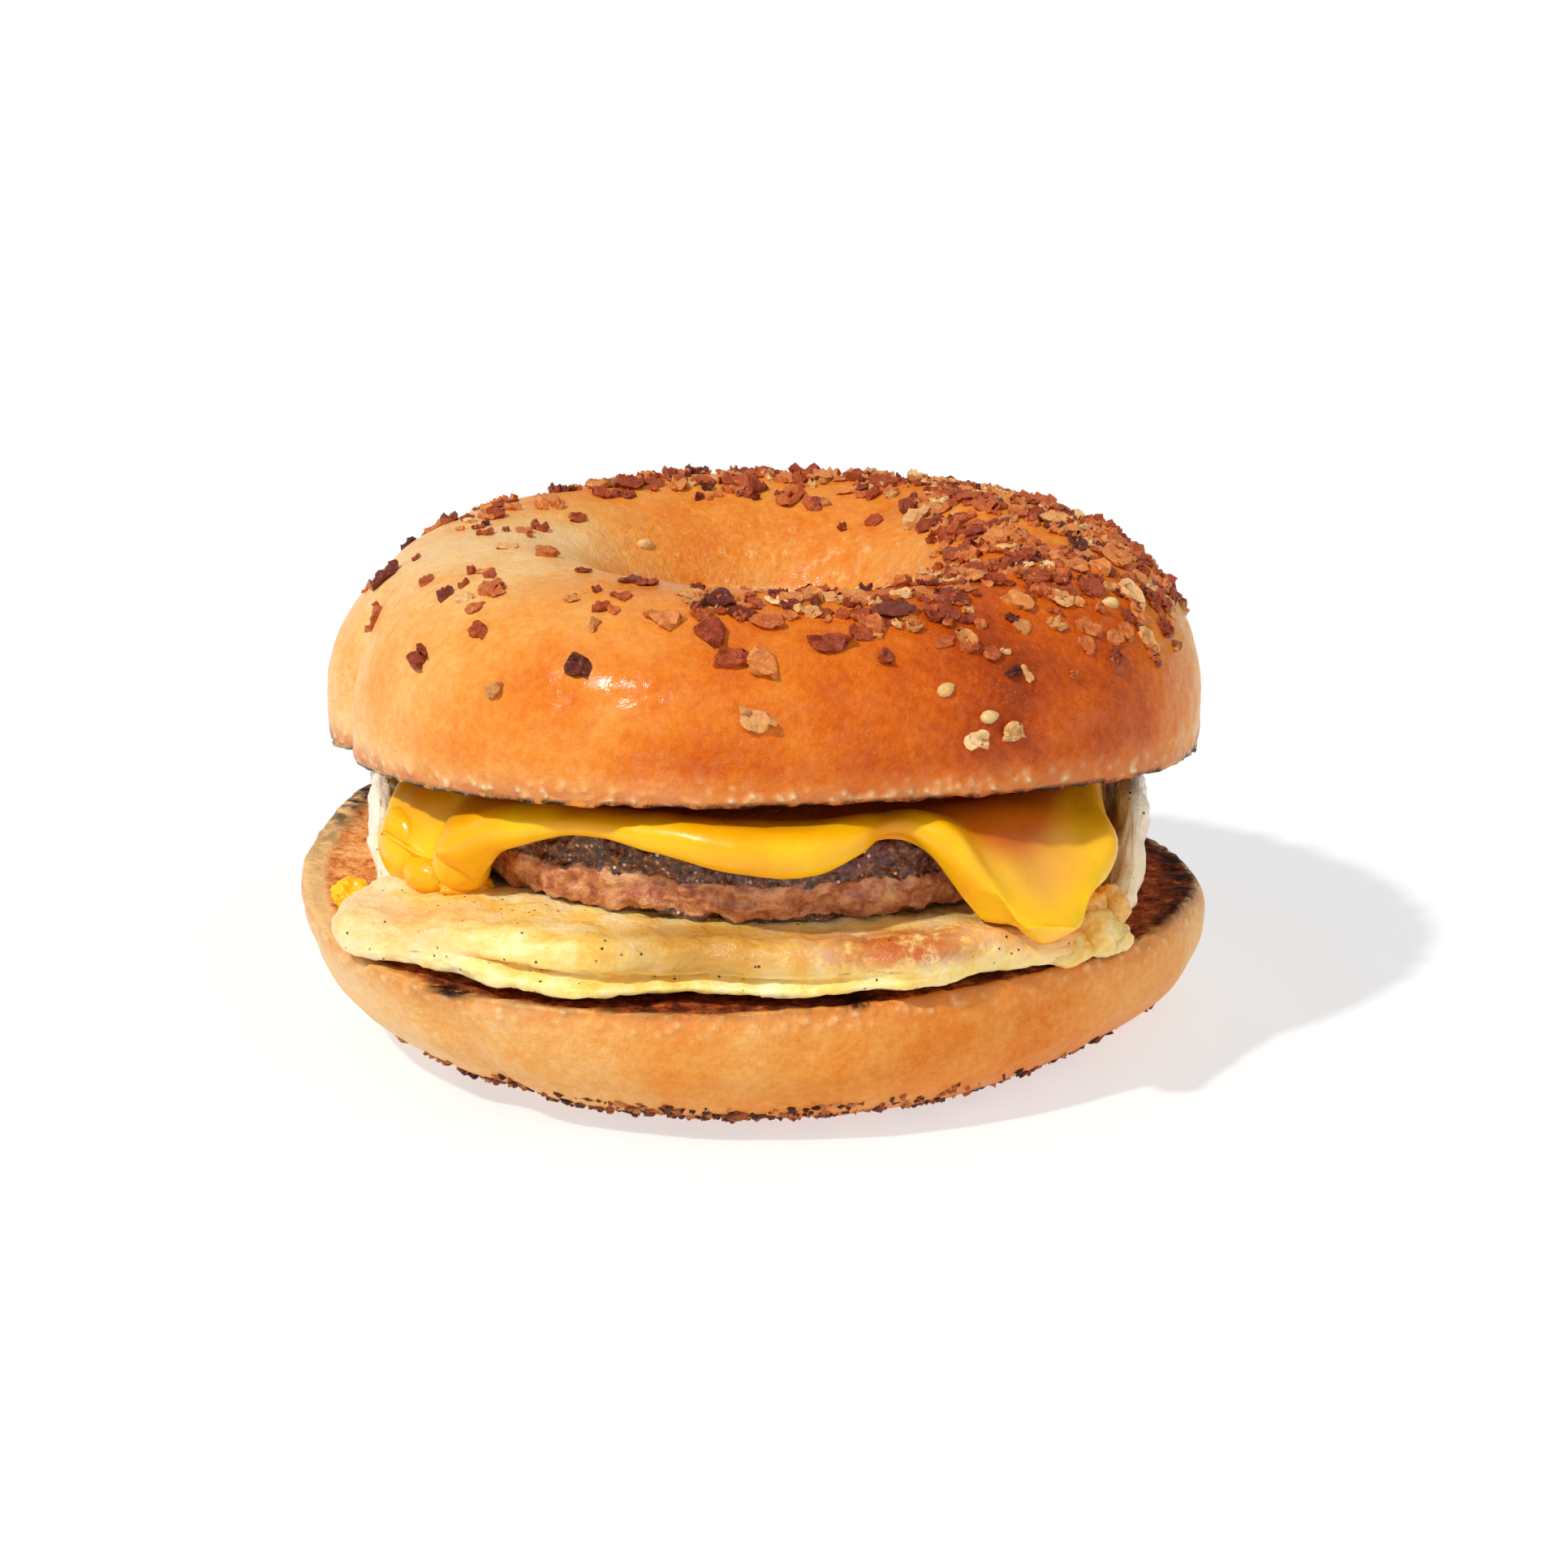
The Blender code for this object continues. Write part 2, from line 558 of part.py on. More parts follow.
def make_disc(name, profile, steps, form, colour, roughness):
    """A layer of the filling from its section and its form."""
    skin = spun(profile, steps, False)
    for vertex in skin.verts:
        vertex.co = form(vertex.co)
    return new_object(name, skin, colour, roughness)


for old in list(bpy.data.objects):
    bpy.data.objects.remove(old, do_unlink=True)

heel = make_ring(
    "bagel_heel",
    half_ring_profile(
        HEEL_HOLE,
        HEEL_RADIUS,
        HEEL_HEIGHT,
        HEEL_HEIGHT - HEEL_BELLY_BELOW_CUT,
        0.0,
        HEEL_ROUNDNESS,
        HEEL_ROUNDNESS,
        9.0 * MM,
        13,
        5,
    ),
    HEEL_STEPS,
    heel_form,
    (0.80, 0.50, 0.25),
)

egg = make_disc(
    "egg", disc_profile(6, 0.93, 7), EGG_STEPS, egg_form, (0.93, 0.72, 0.30), 0.5
)

patty = make_disc(
    "sausage_patty", disc_profile(3, 0.92, 6), PATTY_STEPS, patty_form, (0.30, 0.13, 0.07), 0.45
)

cheese = make_disc(
    "cheese_slice", disc_profile(8, 0.96, 5), CHEESE_STEPS, cheese_form, (0.98, 0.60, 0.03), 0.3
)

crown = make_ring(
    "bagel_crown",
    half_ring_profile(
        CROWN_HOLE,
        CROWN_RADIUS,
        0.0,
        CROWN_BELLY_ABOVE_CUT,
        CROWN_HEIGHT,
        CROWN_ROUNDNESS,
        CROWN_HOLE_ROUNDNESS,
        20.0 * MM,
        15,
        5,
    ),
    CROWN_STEPS,
    crown_form,
    (0.78, 0.36, 0.10),
)
fuse_flakes(crown)
crown.location = (CROWN_CENTRE_X, 0.0, CROWN_CUT_HEIGHT)
crown.rotation_euler = (-CROWN_LEAN, 0.0, 0.0)
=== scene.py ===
import math
import random

import bpy
import numpy as np
from mathutils import Matrix, Vector, noise


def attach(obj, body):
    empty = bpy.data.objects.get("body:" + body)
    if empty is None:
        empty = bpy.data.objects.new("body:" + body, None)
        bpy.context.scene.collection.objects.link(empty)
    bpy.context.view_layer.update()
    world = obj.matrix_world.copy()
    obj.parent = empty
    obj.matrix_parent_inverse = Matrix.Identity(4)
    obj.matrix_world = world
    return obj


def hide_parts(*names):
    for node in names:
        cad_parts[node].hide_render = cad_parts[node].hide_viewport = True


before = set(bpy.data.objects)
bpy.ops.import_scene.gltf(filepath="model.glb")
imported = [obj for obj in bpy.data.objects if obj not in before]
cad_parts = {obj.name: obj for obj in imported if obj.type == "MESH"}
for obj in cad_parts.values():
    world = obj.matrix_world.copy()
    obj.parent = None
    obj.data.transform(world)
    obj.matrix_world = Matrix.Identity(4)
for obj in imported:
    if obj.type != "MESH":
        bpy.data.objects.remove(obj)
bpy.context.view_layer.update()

# Toasted breakfast bagel: heel, folded egg, sausage patty, melted cheese and crown with onion flakes.
# Lengths in metres, +Z up, the open side of the filling looks along -Y.

MM = 0.001
GAP = 0.3 * MM
CUT_TOLERANCE = 0.15 * MM
BLISTER_BAND = 2.4 * MM

# Bagel heel
HEEL_RADIUS = 57.3 * MM
HEEL_HOLE = 12.5 * MM
HEEL_HEIGHT = 18.4 * MM
HEEL_BELLY = 14.4 * MM
HEEL_ROUNDNESS = 2.5
HEEL_BEYOND_CUT = 9.0 * MM
HEEL_CUT_SLOPE_X = -0.036
HEEL_CUT_TWIST = -0.9
HEEL_LEFT_RISE = 0.8 * MM
HEEL_RIGHT_DIP = 1.2 * MM
HEEL_UNDERSIDE_TRIM = 0.7 * MM

# Bagel crown
CROWN_RADIUS = 53.2 * MM
CROWN_HOLE = 13.0 * MM
CROWN_HEIGHT = 24.0 * MM
CROWN_BELLY = 5.0 * MM
CROWN_ROUNDNESS = 2.15
CROWN_HOLE_ROUNDNESS = 1.9
CROWN_BEYOND_CUT = 20.0 * MM
CROWN_THICKER_AT_BACK = 0.05
CROWN_RIM_SAG = 2.2 * MM
CROWN_PLACE = Matrix.Translation((0.7 * MM, 0.0, 37.9 * MM)) @ Matrix.Rotation(-math.atan(0.098), 4, "X")

# Toasted onion and seeds on the crown
FLAKE_COUNT = 104
FLAKE_LENGTH = (1.9 * MM, 4.0 * MM)
FLAKE_HEIGHT = (0.8 * MM, 1.3 * MM)
FLAKE_SPACING = 2.3 * MM
SEED = 41
# The flakes and seeds that stand out: azimuth and station in degrees, length, width in millimetres, kind
KNOWN_FLAKES = (
    (-65.5, 71, 7.0, 3.6, "dark_onion"),
    (-89.0, 65, 5.0, 2.8, "onion"),
    (-106.0, 64, 4.4, 3.0, "onion"),
    (-99.0, 78, 5.4, 3.4, "dark_onion"),
    (-94.5, 45, 4.6, 2.4, "onion"),
    (-79.5, 52, 4.8, 3.0, "onion"),
    (-116.5, 37, 3.2, 2.6, "dark_onion"),
    (-144.0, 31, 3.2, 2.4, "onion"),
    (-128.0, 24, 2.6, 2.0, "garlic"),
    (-56.5, 16, 3.2, 2.4, "sesame"),
    (-58.8, 8, 3.0, 2.4, "garlic"),
    (-53.4, 9, 3.0, 2.2, "garlic"),
    (-62.5, 29, 3.0, 2.0, "sesame"),
    (-91.0, 19, 4.0, 3.0, "garlic"),
    (45.0, 110, 4.2, 2.8, "dark_onion"),
    (137.0, 129, 2.6, 1.9, "sesame"),
)
# Drifts of flakes: height, azimuth in degrees and its width in radians, station and its width in radians
FLAKE_DRIFTS = (
    (1.0, -4.0, 0.85, 1.35, 0.75),
    (0.7, 95.0, 0.95, 1.40, 0.45),
    (0.75, -86.0, 0.55, 1.35, 0.28),
    (0.17, 180.0, 0.95, 1.15, 0.6),
)

# Folded egg
EGG_HALF_WIDTH = 47.0 * MM
EGG_FRONT_REACH = 53.5 * MM
EGG_BACK_REACH = 46.0 * MM
EGG_SQUARENESS = 3.2
EGG_LEFT_FLAP = 9.0 * MM
EGG_RIGHT_FLAP = 12.5 * MM
EGG_FLAP_START = 41.7 * MM
EGG_MIDDLE_X = -0.2 * MM
EGG_FLAP_BEND = 4.8 * MM
EGG_FRONT_SHIFT = -2.6 * MM
EGG_FLAP_THICKNESS = 3.4 * MM

# Sausage patty
PATTY_RADIUS = 42.5 * MM
PATTY_Y = -4.0 * MM
PATTY_BOTTOM = 24.4 * MM
PATTY_SLOPE_X = -0.015
PATTY_SLOPE_Y = -0.040
PATTY_THICKNESS = 9.2 * MM
PATTY_TAPER_Y = -0.030

# Cheese slice
CHEESE_THICKNESS = 2.6 * MM
CHEESE_BEND_START = 40.0 * MM
CHEESE_BEND_SHARE = 0.6
# Edge of the melted slice: azimuth in degrees, then in millimetres its distance from the patty's middle,
# its drop below the slice and the thickness of its bead
CHEESE_EDGE = (
    (-180, 42.4, 1.4, 0.4),
    (-170, 42.4, 2.0, 0.6),
    (-166, 43.0, 3.8, 1.0),
    (-162, 44.6, 9.0, 2.0),
    (-157, 46.0, 14.6, 2.6),
    (-151, 45.6, 13.6, 2.2),
    (-146, 45.0, 11.2, 1.6),
    (-140, 45.4, 11.2, 2.8),
    (-133, 45.0, 5.6, 1.8),
    (-120, 44.8, 2.0, 0.9),
    (-112, 44.8, 1.8, 0.9),
    (-102, 45.6, 3.2, 1.8),
    (-93, 46.4, 4.5, 2.5),
    (-82, 46.4, 4.8, 2.5),
    (-74, 45.2, 2.8, 1.2),
    (-69, 43.2, 0.9, 0.3),
    (-65, 43.8, 1.2, 0.6),
    (-61.5, 45.4, 3.8, 1.2),
    (-57, 47.2, 9.8, 1.6),
    (-54, 50.2, 14.0, 1.8),
    (-50.5, 52.6, 16.2, 2.0),
    (-46, 52.6, 15.6, 1.8),
    (-39, 50.6, 12.6, 1.6),
    (-32, 47.8, 10.4, 1.8),
    (-25, 45.4, 7.4, 1.4),
    (-17, 43.4, 3.6, 0.9),
    (-6, 42.6, 1.8, 0.5),
    (60, 43.4, 1.4, 0.4),
    (130, 43.4, 1.4, 0.4),
)
# Lobes and hollows of the melted part: azimuth and its width in degrees, share of the way down and its
# width, height in millimetres
CHEESE_LOBES = (
    (-157, 6, 0.55, 0.30, 2.4),
    (-148.5, 2.5, 0.65, 0.35, -0.8),
    (-140, 5, 0.55, 0.28, 2.5),
    (-100, 8, 0.80, 0.40, 0.6),
    (-58, 3.5, 0.60, 0.40, 1.6),
    (-50, 6, 0.92, 0.15, 1.2),
    (-46, 6, 0.50, 0.28, -1.0),
    (-31, 5, 0.72, 0.20, 2.2),
)


# Measures and curves, for single values and for arrays


def smooth(low, high, value):
    """Rises smoothly from 0 at low to 1 at high."""
    share = np.clip((value - low) / (high - low), 0.0, 1.0)
    return share * share * (3.0 - 2.0 * share)


def turn_between(angle, centre):
    return (angle - centre + math.pi) % (2.0 * math.pi) - math.pi


def bump(angle, centre, width):
    """A soft bump of height 1 round an azimuth, in radians."""
    return np.exp(-((turn_between(angle, centre) / width) ** 2))


def near(azimuth, degrees, width):
    """A soft bump round an azimuth in degrees, with its width in degrees."""
    return bump(azimuth, math.radians(degrees), math.radians(width))


def wave(azimuth, terms):
    """Sum of outline waves, each an amplitude in millimetres, a count and the azimuth of a crest."""
    total = 0.0
    for amplitude, count, crest in terms:
        total = total + amplitude * MM * np.cos(count * (azimuth - math.radians(crest)))
    return total


def power(value, exponent):
    return np.copysign(np.abs(value) ** exponent, value)


def lump(x, y, z, size, seed):
    """Smooth noise between about -1 and 1, with lumps of the given size."""
    x, y, z = np.broadcast_arrays(x / size + seed, y / size, z / size)
    flat = [noise.noise(point) for point in np.stack((x, y, z), -1).reshape(-1, 3).tolist()]
    return np.array(flat).reshape(x.shape)


# The forms of the five layers


def heel_cut(x, y):
    azimuth = np.arctan2(y, x)
    rim = HEEL_LEFT_RISE * bump(azimuth, math.radians(168.0), 0.40)
    rim = rim - HEEL_RIGHT_DIP * bump(azimuth, math.radians(25.0), 0.45)
    plane = HEEL_HEIGHT + HEEL_CUT_SLOPE_X * x + HEEL_CUT_TWIST * x * y
    return plane + rim * smooth(44.0 * MM, 56.0 * MM, np.hypot(x, y))


def patty_bottom(x, y):
    return PATTY_BOTTOM + PATTY_SLOPE_X * x + PATTY_SLOPE_Y * y


def patty_top(x, y):
    return patty_bottom(x, y) + PATTY_THICKNESS + PATTY_TAPER_Y * y


def heel_form(x, y, z):
    azimuth = np.arctan2(y, x)
    radius = np.hypot(x, y)
    outer = smooth(30.0 * MM, 52.0 * MM, radius)
    height = np.maximum(0.0, z - HEEL_UNDERSIDE_TRIM) * HEEL_HEIGHT / (HEEL_HEIGHT - HEEL_UNDERSIDE_TRIM)
    share = height / HEEL_HEIGHT
    grown = wave(azimuth, ((1.7, 1, -171), (1.7, 2, 45), (0.8, 3, -15), (0.6, 4, 40)))
    seam = math.radians(-131.0) + 0.10 * (1.0 - share)
    crease = -1.3 * MM * bump(azimuth, seam, 0.07) * smooth(1.0, 0.8, share)
    step = 1.1 * MM * bump(azimuth, seam + 0.16, 0.13) * (1.0 - share)
    spread = outer * (grown + crease + step)
    low = np.maximum(0.0, 1.0 - share)
    spread -= 8.5 * MM * outer * low * bump(azimuth, math.radians(-138.0), 0.72)
    spread -= 3.0 * MM * outer * low * bump(azimuth, math.radians(-38.0), 0.42)
    spread += 1.6 * MM * outer * bump(azimuth, math.radians(2.0), 0.40)
    spread += 1.0 * MM * outer * (smooth(0.7, 1.0, share) - 0.6) * bump(azimuth, math.pi, 0.7)
    spread += 0.5 * MM * outer * lump(x, y, z, 14.0 * MM, 3.0)
    inner = smooth(26.0 * MM, 14.0 * MM, radius)
    radius = radius + spread + inner * wave(azimuth, ((0.8, 2, 70), (0.5, 3, 20)))
    x = radius * np.cos(azimuth)
    y = radius * np.sin(azimuth)
    return x, y, height * heel_cut(x, y) / HEEL_HEIGHT


def crown_form(x, y, z):
    azimuth = np.arctan2(y, x)
    radius = np.hypot(x, y)
    outer = smooth(30.0 * MM, 50.0 * MM, radius)
    share = z / CROWN_HEIGHT
    grown = wave(azimuth, ((0.5, 1, 100), (1.3, 2, 12), (0.9, 3, -7), (0.5, 4, -14)))
    seam = math.radians(-168.0)
    crease = -2.2 * MM * bump(azimuth, seam, 0.075) * smooth(0.95, 0.5, share)
    lobe = 1.3 * MM * bump(azimuth, seam - 0.22, 0.14) * smooth(0.9, 0.3, share)
    spread = outer * (grown + crease + lobe)
    spread = spread + 0.6 * MM * outer * lump(x, y, z, 16.0 * MM, 9.0) * smooth(0.0, 0.2, share)
    inner = smooth(24.0 * MM, 13.0 * MM, radius)
    spread = spread + inner * wave(azimuth, ((0.9, 2, 10), (0.6, 3, 80)))
    radius = radius + spread
    rise = CROWN_THICKER_AT_BACK * y + wave(azimuth, ((0.5, 2, 35), (0.4, 3, 10)))
    rise = rise + 0.5 * MM * lump(x, y, 0.0 * z, 18.0 * MM, 5.0)
    x = radius * np.cos(azimuth)
    y = radius * np.sin(azimuth)
    sag = smooth(42.0 * MM, 52.0 * MM, radius) * (x / CROWN_RADIUS) ** 2
    return x, y, z + share * rise - CROWN_RIM_SAG * (1.0 - share) * sag


def crown_skin(azimuth, station):
    """Point of the crust: station 0 is the belly, a quarter turn the ridge, a half turn the hole."""
    middle = (CROWN_RADIUS + CROWN_HOLE) / 2.0
    half = (CROWN_RADIUS - CROWN_HOLE) / 2.0
    bend = 2.0 / (CROWN_ROUNDNESS if math.cos(station) > 0.0 else CROWN_HOLE_ROUNDNESS)
    across = middle + half * power(math.cos(station), bend)
    height = CROWN_BELLY + (CROWN_HEIGHT - CROWN_BELLY) * power(math.sin(station), bend)
    return Vector(crown_form(across * math.cos(azimuth), across * math.sin(azimuth), height))


def crown_seat(azimuth, station):
    """Point on the crust, with the direction that looks out of it."""
    small = 0.02
    round_way = crown_skin(azimuth + small, station) - crown_skin(azimuth - small, station)
    up_way = crown_skin(azimuth, station + small) - crown_skin(azimuth, station - small)
    return crown_skin(azimuth, station), round_way.cross(up_way).normalized()


def flake_share(azimuth, station):
    """How thickly the flakes lie at a place on the crown, from 0 to 1."""
    return sum(
        height * bump(azimuth, math.radians(centre), width) * math.exp(-(((station - middle) / spread) ** 2))
        for height, centre, width, middle, spread in FLAKE_DRIFTS
    )


def egg_reach(azimuth):
    """Distance from the middle to the edge of the flat egg, before its sides are curled."""
    depth = np.where(azimuth < 0.0, EGG_FRONT_REACH, EGG_BACK_REACH)
    across = np.abs(np.cos(azimuth)) / EGG_HALF_WIDTH
    along = np.abs(np.sin(azimuth)) / depth
    reach = (across**EGG_SQUARENESS + along**EGG_SQUARENESS) ** (-1.0 / EGG_SQUARENESS)
    reach = reach + EGG_RIGHT_FLAP * np.exp(-((azimuth / 0.42) ** 4))
    reach = reach + EGG_LEFT_FLAP * np.exp(-((turn_between(azimuth, math.pi) / 0.32) ** 4))
    reach = reach + 6.0 * MM * bump(azimuth, math.radians(-143.0), 0.13)
    reach = reach - 2.2 * MM * bump(azimuth, math.radians(-51.0), 0.11)
    return reach + wave(azimuth, ((0.6, 11, 20), (0.5, 17, 40)))


def egg_form(x, y, z):
    azimuth = np.arctan2(y, x)
    share = np.hypot(x, y)
    edge = smooth(0.8, 1.0, share)
    degrees = np.degrees(azimuth)
    front = smooth(-128.0, -120.0, degrees) * smooth(-62.0, -92.0, degrees)
    level = 0.22 * smooth(-98.0, -126.0, degrees) - 0.22
    fold = -1.9 * MM * front * edge * np.exp(-(((z - level) / 0.16) ** 2))
    fold = fold + 1.0 * MM * front * edge * smooth(level, level - 0.25, z)
    fold = fold + 1.1 * MM * edge * bump(azimuth, math.radians(-44.0), 0.07)
    under = smooth(-150.0, -132.0, degrees) * smooth(-32.0, -52.0, degrees)
    fold = fold - 3.2 * MM * under * edge * smooth(-0.62, -0.92, z)
    wrinkle = 0.9 * MM * edge * lump(x * 52.0 * MM, y * 52.0 * MM, z * 3.0 * MM, 7.0 * MM, 12.0)
    radius = share * egg_reach(azimuth) + fold + wrinkle
    y = radius * np.sin(azimuth)
    x = radius * np.cos(azimuth) + EGG_FRONT_SHIFT * smooth(-14.0 * MM, -36.0 * MM, y)
    bottom = heel_cut(x, y) + GAP
    thick = patty_bottom(x, y) - GAP - bottom
    side = x - EGG_MIDDLE_X
    front_end = np.where(side < 0.0, -20.0 * MM, -33.0 * MM)
    front_run = np.where(side < 0.0, 7.0 * MM, 13.0 * MM)
    bent = smooth(front_end, front_end + front_run, y) * smooth(30.0 * MM, 18.0 * MM, y)
    thin = smooth(34.0 * MM, 43.0 * MM, np.abs(side)) * (0.35 + 0.65 * bent)
    thin = np.maximum(thin, smooth(36.0 * MM, 46.0 * MM, y))
    thick = thick + (EGG_FLAP_THICKNESS - thick) * thin
    level = (z + 1.0) / 2.0 * thick
    over = np.abs(side) - EGG_FLAP_START
    curled = (over > 0.0) & (bent > 0.0)
    angle = np.minimum(math.radians(84.0) * bent, np.maximum(over, 0.0) / EGG_FLAP_BEND)
    straight = over - angle * EGG_FLAP_BEND
    arm = EGG_FLAP_BEND - (level - thick / 2.0)
    reach = EGG_FLAP_START + arm * np.sin(angle) + straight * np.cos(angle)
    hinge = heel_cut(EGG_MIDDLE_X + np.copysign(EGG_FLAP_START, side), y) + GAP
    raised = hinge + thick / 2.0 + EGG_FLAP_BEND - arm * np.cos(angle) + straight * np.sin(angle)
    x = np.where(curled, EGG_MIDDLE_X + np.copysign(reach, side), x)
    return x, y, np.where(curled, raised, bottom + level)


def egg_top(x, y):
    """Height of the egg's upper side where it lies flat."""
    bottom = heel_cut(x, y) + GAP
    thick = patty_bottom(x, y) - GAP - bottom
    thin = 0.35 * smooth(34.0 * MM, 43.0 * MM, np.abs(x - EGG_MIDDLE_X))
    return bottom + thick + (EGG_FLAP_THICKNESS - thick) * thin


def patty_form(x, y, z):
    azimuth = np.arctan2(y, x)
    share = np.hypot(x, y)
    edge = smooth(0.75, 1.0, share)
    reach = PATTY_RADIUS + wave(azimuth, ((0.4, 3, 30), (0.3, 7, 10), (0.25, 12, 0))) - 0.8 * MM
    x = share * reach * np.cos(azimuth)
    y = PATTY_Y + share * reach * np.sin(azimuth)
    dent = 0.7 * MM * edge * lump(x, y, z * 5.0 * MM, 5.0 * MM, 2.0)
    x = x + dent * np.cos(azimuth)
    y = y + dent * np.sin(azimuth)
    low = patty_bottom(x, y)
    return x, y, low + (patty_top(x, y) - low) * (z + 1.0) / 2.0


def through(azimuth, table, column):
    """Smooth closed curve through one column of a table, whose first column is an azimuth in degrees."""
    stations = np.array([row[0] for row in table], float)
    values = np.array([row[column] for row in table], float)
    gaps = (np.roll(stations, -1) - stations) % 360.0
    slopes = (np.roll(values, -1) - np.roll(values, 1)) / (gaps + np.roll(gaps, 1))
    degrees = (np.degrees(azimuth) - stations[0]) % 360.0 + stations[0]
    first = np.searchsorted(stations, degrees, side="right") - 1
    second = (first + 1) % len(stations)
    gap = gaps[first]
    share = (degrees - stations[first]) / gap
    rest = 1.0 - share
    eased = share * share * (3.0 - 2.0 * share)
    lean = share * rest * gap * (slopes[first] * rest - slopes[second] * share)
    return values[first] + (values[second] - values[first]) * eased + lean


def cheese_path(azimuth, share):
    """Distance out and drop of the melted edge, share 0 at the bend and 1 at the rim."""
    reach = through(azimuth, CHEESE_EDGE, 1) * MM
    drop = through(azimuth, CHEESE_EDGE, 2) * MM
    turn = share * math.pi / 2.0
    out = CHEESE_BEND_START + (reach - CHEESE_BEND_START) * np.sin(turn) ** 1.05
    return out, drop * (1.0 - np.cos(turn)) ** 0.85, np.hypot(reach - CHEESE_BEND_START, drop)


def cheese_form(x, y, z):
    azimuth = np.arctan2(y, x)
    share = np.hypot(x, y)
    past = np.clip((share - CHEESE_BEND_SHARE) / (1.0 - CHEESE_BEND_SHARE), 0.0, 1.0)
    out, drop, length = cheese_path(azimuth, past)
    before, drop_before, _ = cheese_path(azimuth, np.maximum(past - 0.02, 0.0))
    after, drop_after, _ = cheese_path(azimuth, np.maximum(past - 0.02, 0.0) + 0.02)
    angle = np.arctan2(drop_after - drop_before, after - before) * smooth(0.0, 0.06, past)
    out = np.where(past > 0.0, out, CHEESE_BEND_START * share / CHEESE_BEND_SHARE)
    left = (1.0 - past) * length
    bead = through(azimuth, CHEESE_EDGE, 3) * MM
    extra = bead * np.exp(-(((left - 2.4 * MM) / (3.2 * MM)) ** 2)) * smooth(0.0, 0.25, past)
    degrees = np.degrees(azimuth)
    for centre, width, place, spread, height in CHEESE_LOBES:
        away = ((degrees - centre + 180.0) % 360.0 - 180.0) / width
        swell = np.exp(-(away**2) - ((past - place) / spread) ** 2)
        extra = extra + height * MM * swell * smooth(0.0, 0.3, past)
    rounding = 0.9 * MM + 0.7 * bead
    full = np.sqrt(np.maximum(0.06, 1.0 - np.clip(1.0 - left / rounding, 0.0, 1.0) ** 2))
    lift = z * CHEESE_THICKNESS / 2.0 * full + np.maximum(0.0, z) * extra * full
    out = out + lift * np.sin(angle)
    x = out * np.cos(azimuth)
    y = PATTY_Y + out * np.sin(azimuth)
    height = patty_top(x, y) + GAP + CHEESE_THICKNESS / 2.0 - drop + lift * np.cos(angle)
    rest = (z + 1.0) / 2.0 * (CHEESE_THICKNESS + extra) * full
    edge = egg_reach(np.arctan2(y, x)) - np.hypot(x, y)
    slip = 4.5 * MM * smooth(1.5 * MM, -2.5 * MM, edge)
    floor = egg_top(x, y) + GAP + rest - slip
    return x, y, np.where(past > 0.0, np.maximum(height, floor), height)


# Modelling


def alone(piece):
    """Selects one piece and nothing else."""
    bpy.ops.object.select_all(action="DESELECT")
    piece.select_set(True)
    bpy.context.view_layer.objects.active = piece


def shape(mode, picked="DESELECT"):
    """Goes into edit mode with everything or nothing picked."""
    bpy.ops.object.mode_set(mode="EDIT")
    bpy.ops.mesh.select_mode(type=mode)
    bpy.ops.mesh.select_all(action=picked)


def done():
    bpy.ops.object.mode_set(mode="OBJECT")


def vertices_of(piece):
    flat = np.empty(len(piece.data.vertices) * 3, np.float32)
    piece.data.vertices.foreach_get("co", flat)
    return flat.reshape(-1, 3).astype(float)


def move_vertices(piece, x, y, z):
    flat = np.stack((x, y, z), -1).astype(np.float32).ravel()
    piece.data.vertices.foreach_set("co", flat)
    piece.data.update()


def pick_faces(piece, low, high):
    """Picks the faces whose centre lies between two heights."""
    done()
    for face in piece.data.polygons:
        face.select = low <= face.center.z <= high
    bpy.ops.object.mode_set(mode="EDIT")


def halved_ring(
    name, hole, radius, belly, cut, rise, beyond, roundness, hole_roundness, steps, stations, rings
):
    """A turned bagel ring, cut across at one height; the open cut is closed with rings of faces.

    rise is the height from the belly to the far side, negative where that is below the belly.
    """
    bpy.ops.object.select_all(action="DESELECT")
    bpy.ops.mesh.primitive_torus_add(
        major_radius=(radius + hole) / 2.0,
        minor_radius=(radius - hole) / 2.0,
        major_segments=steps,
        minor_segments=stations,
    )
    ring = bpy.context.object
    ring.name = name
    ring.data.name = name
    x, y, z = vertices_of(ring).T
    azimuth = np.arctan2(y, x)
    middle = (radius + hole) / 2.0
    half = (radius - hole) / 2.0
    angle = np.arctan2(z * math.copysign(1.0, rise), np.hypot(x, y) - middle)
    bend = 2.0 / np.where(np.cos(angle) > 0.0, roundness, hole_roundness)
    across = middle + half * power(np.cos(angle), bend)
    along = power(np.sin(angle), bend)
    height = belly + np.where(along > 0.0, rise * along, math.copysign(beyond, rise) * along)
    move_vertices(ring, across * np.cos(azimuth), across * np.sin(azimuth), height)
    shape("VERT", "SELECT")
    bpy.ops.mesh.bisect(
        plane_co=(0.0, 0.0, cut), plane_no=(0.0, 0.0, 1.0), clear_outer=rise < 0.0, clear_inner=rise > 0.0
    )
    bpy.ops.mesh.select_all(action="DESELECT")
    bpy.ops.mesh.select_mode(type="EDGE")
    bpy.ops.mesh.select_non_manifold(
        extend=False, use_wire=False, use_boundary=True, use_multi_face=False,
        use_non_contiguous=False, use_verts=False,
    )
    bpy.ops.mesh.bridge_edge_loops(number_cuts=rings, interpolation="LINEAR")
    bpy.ops.mesh.select_all(action="SELECT")
    bpy.ops.mesh.remove_doubles(threshold=1e-6)
    bpy.ops.mesh.normals_make_consistent(inside=False)
    done()
    return ring


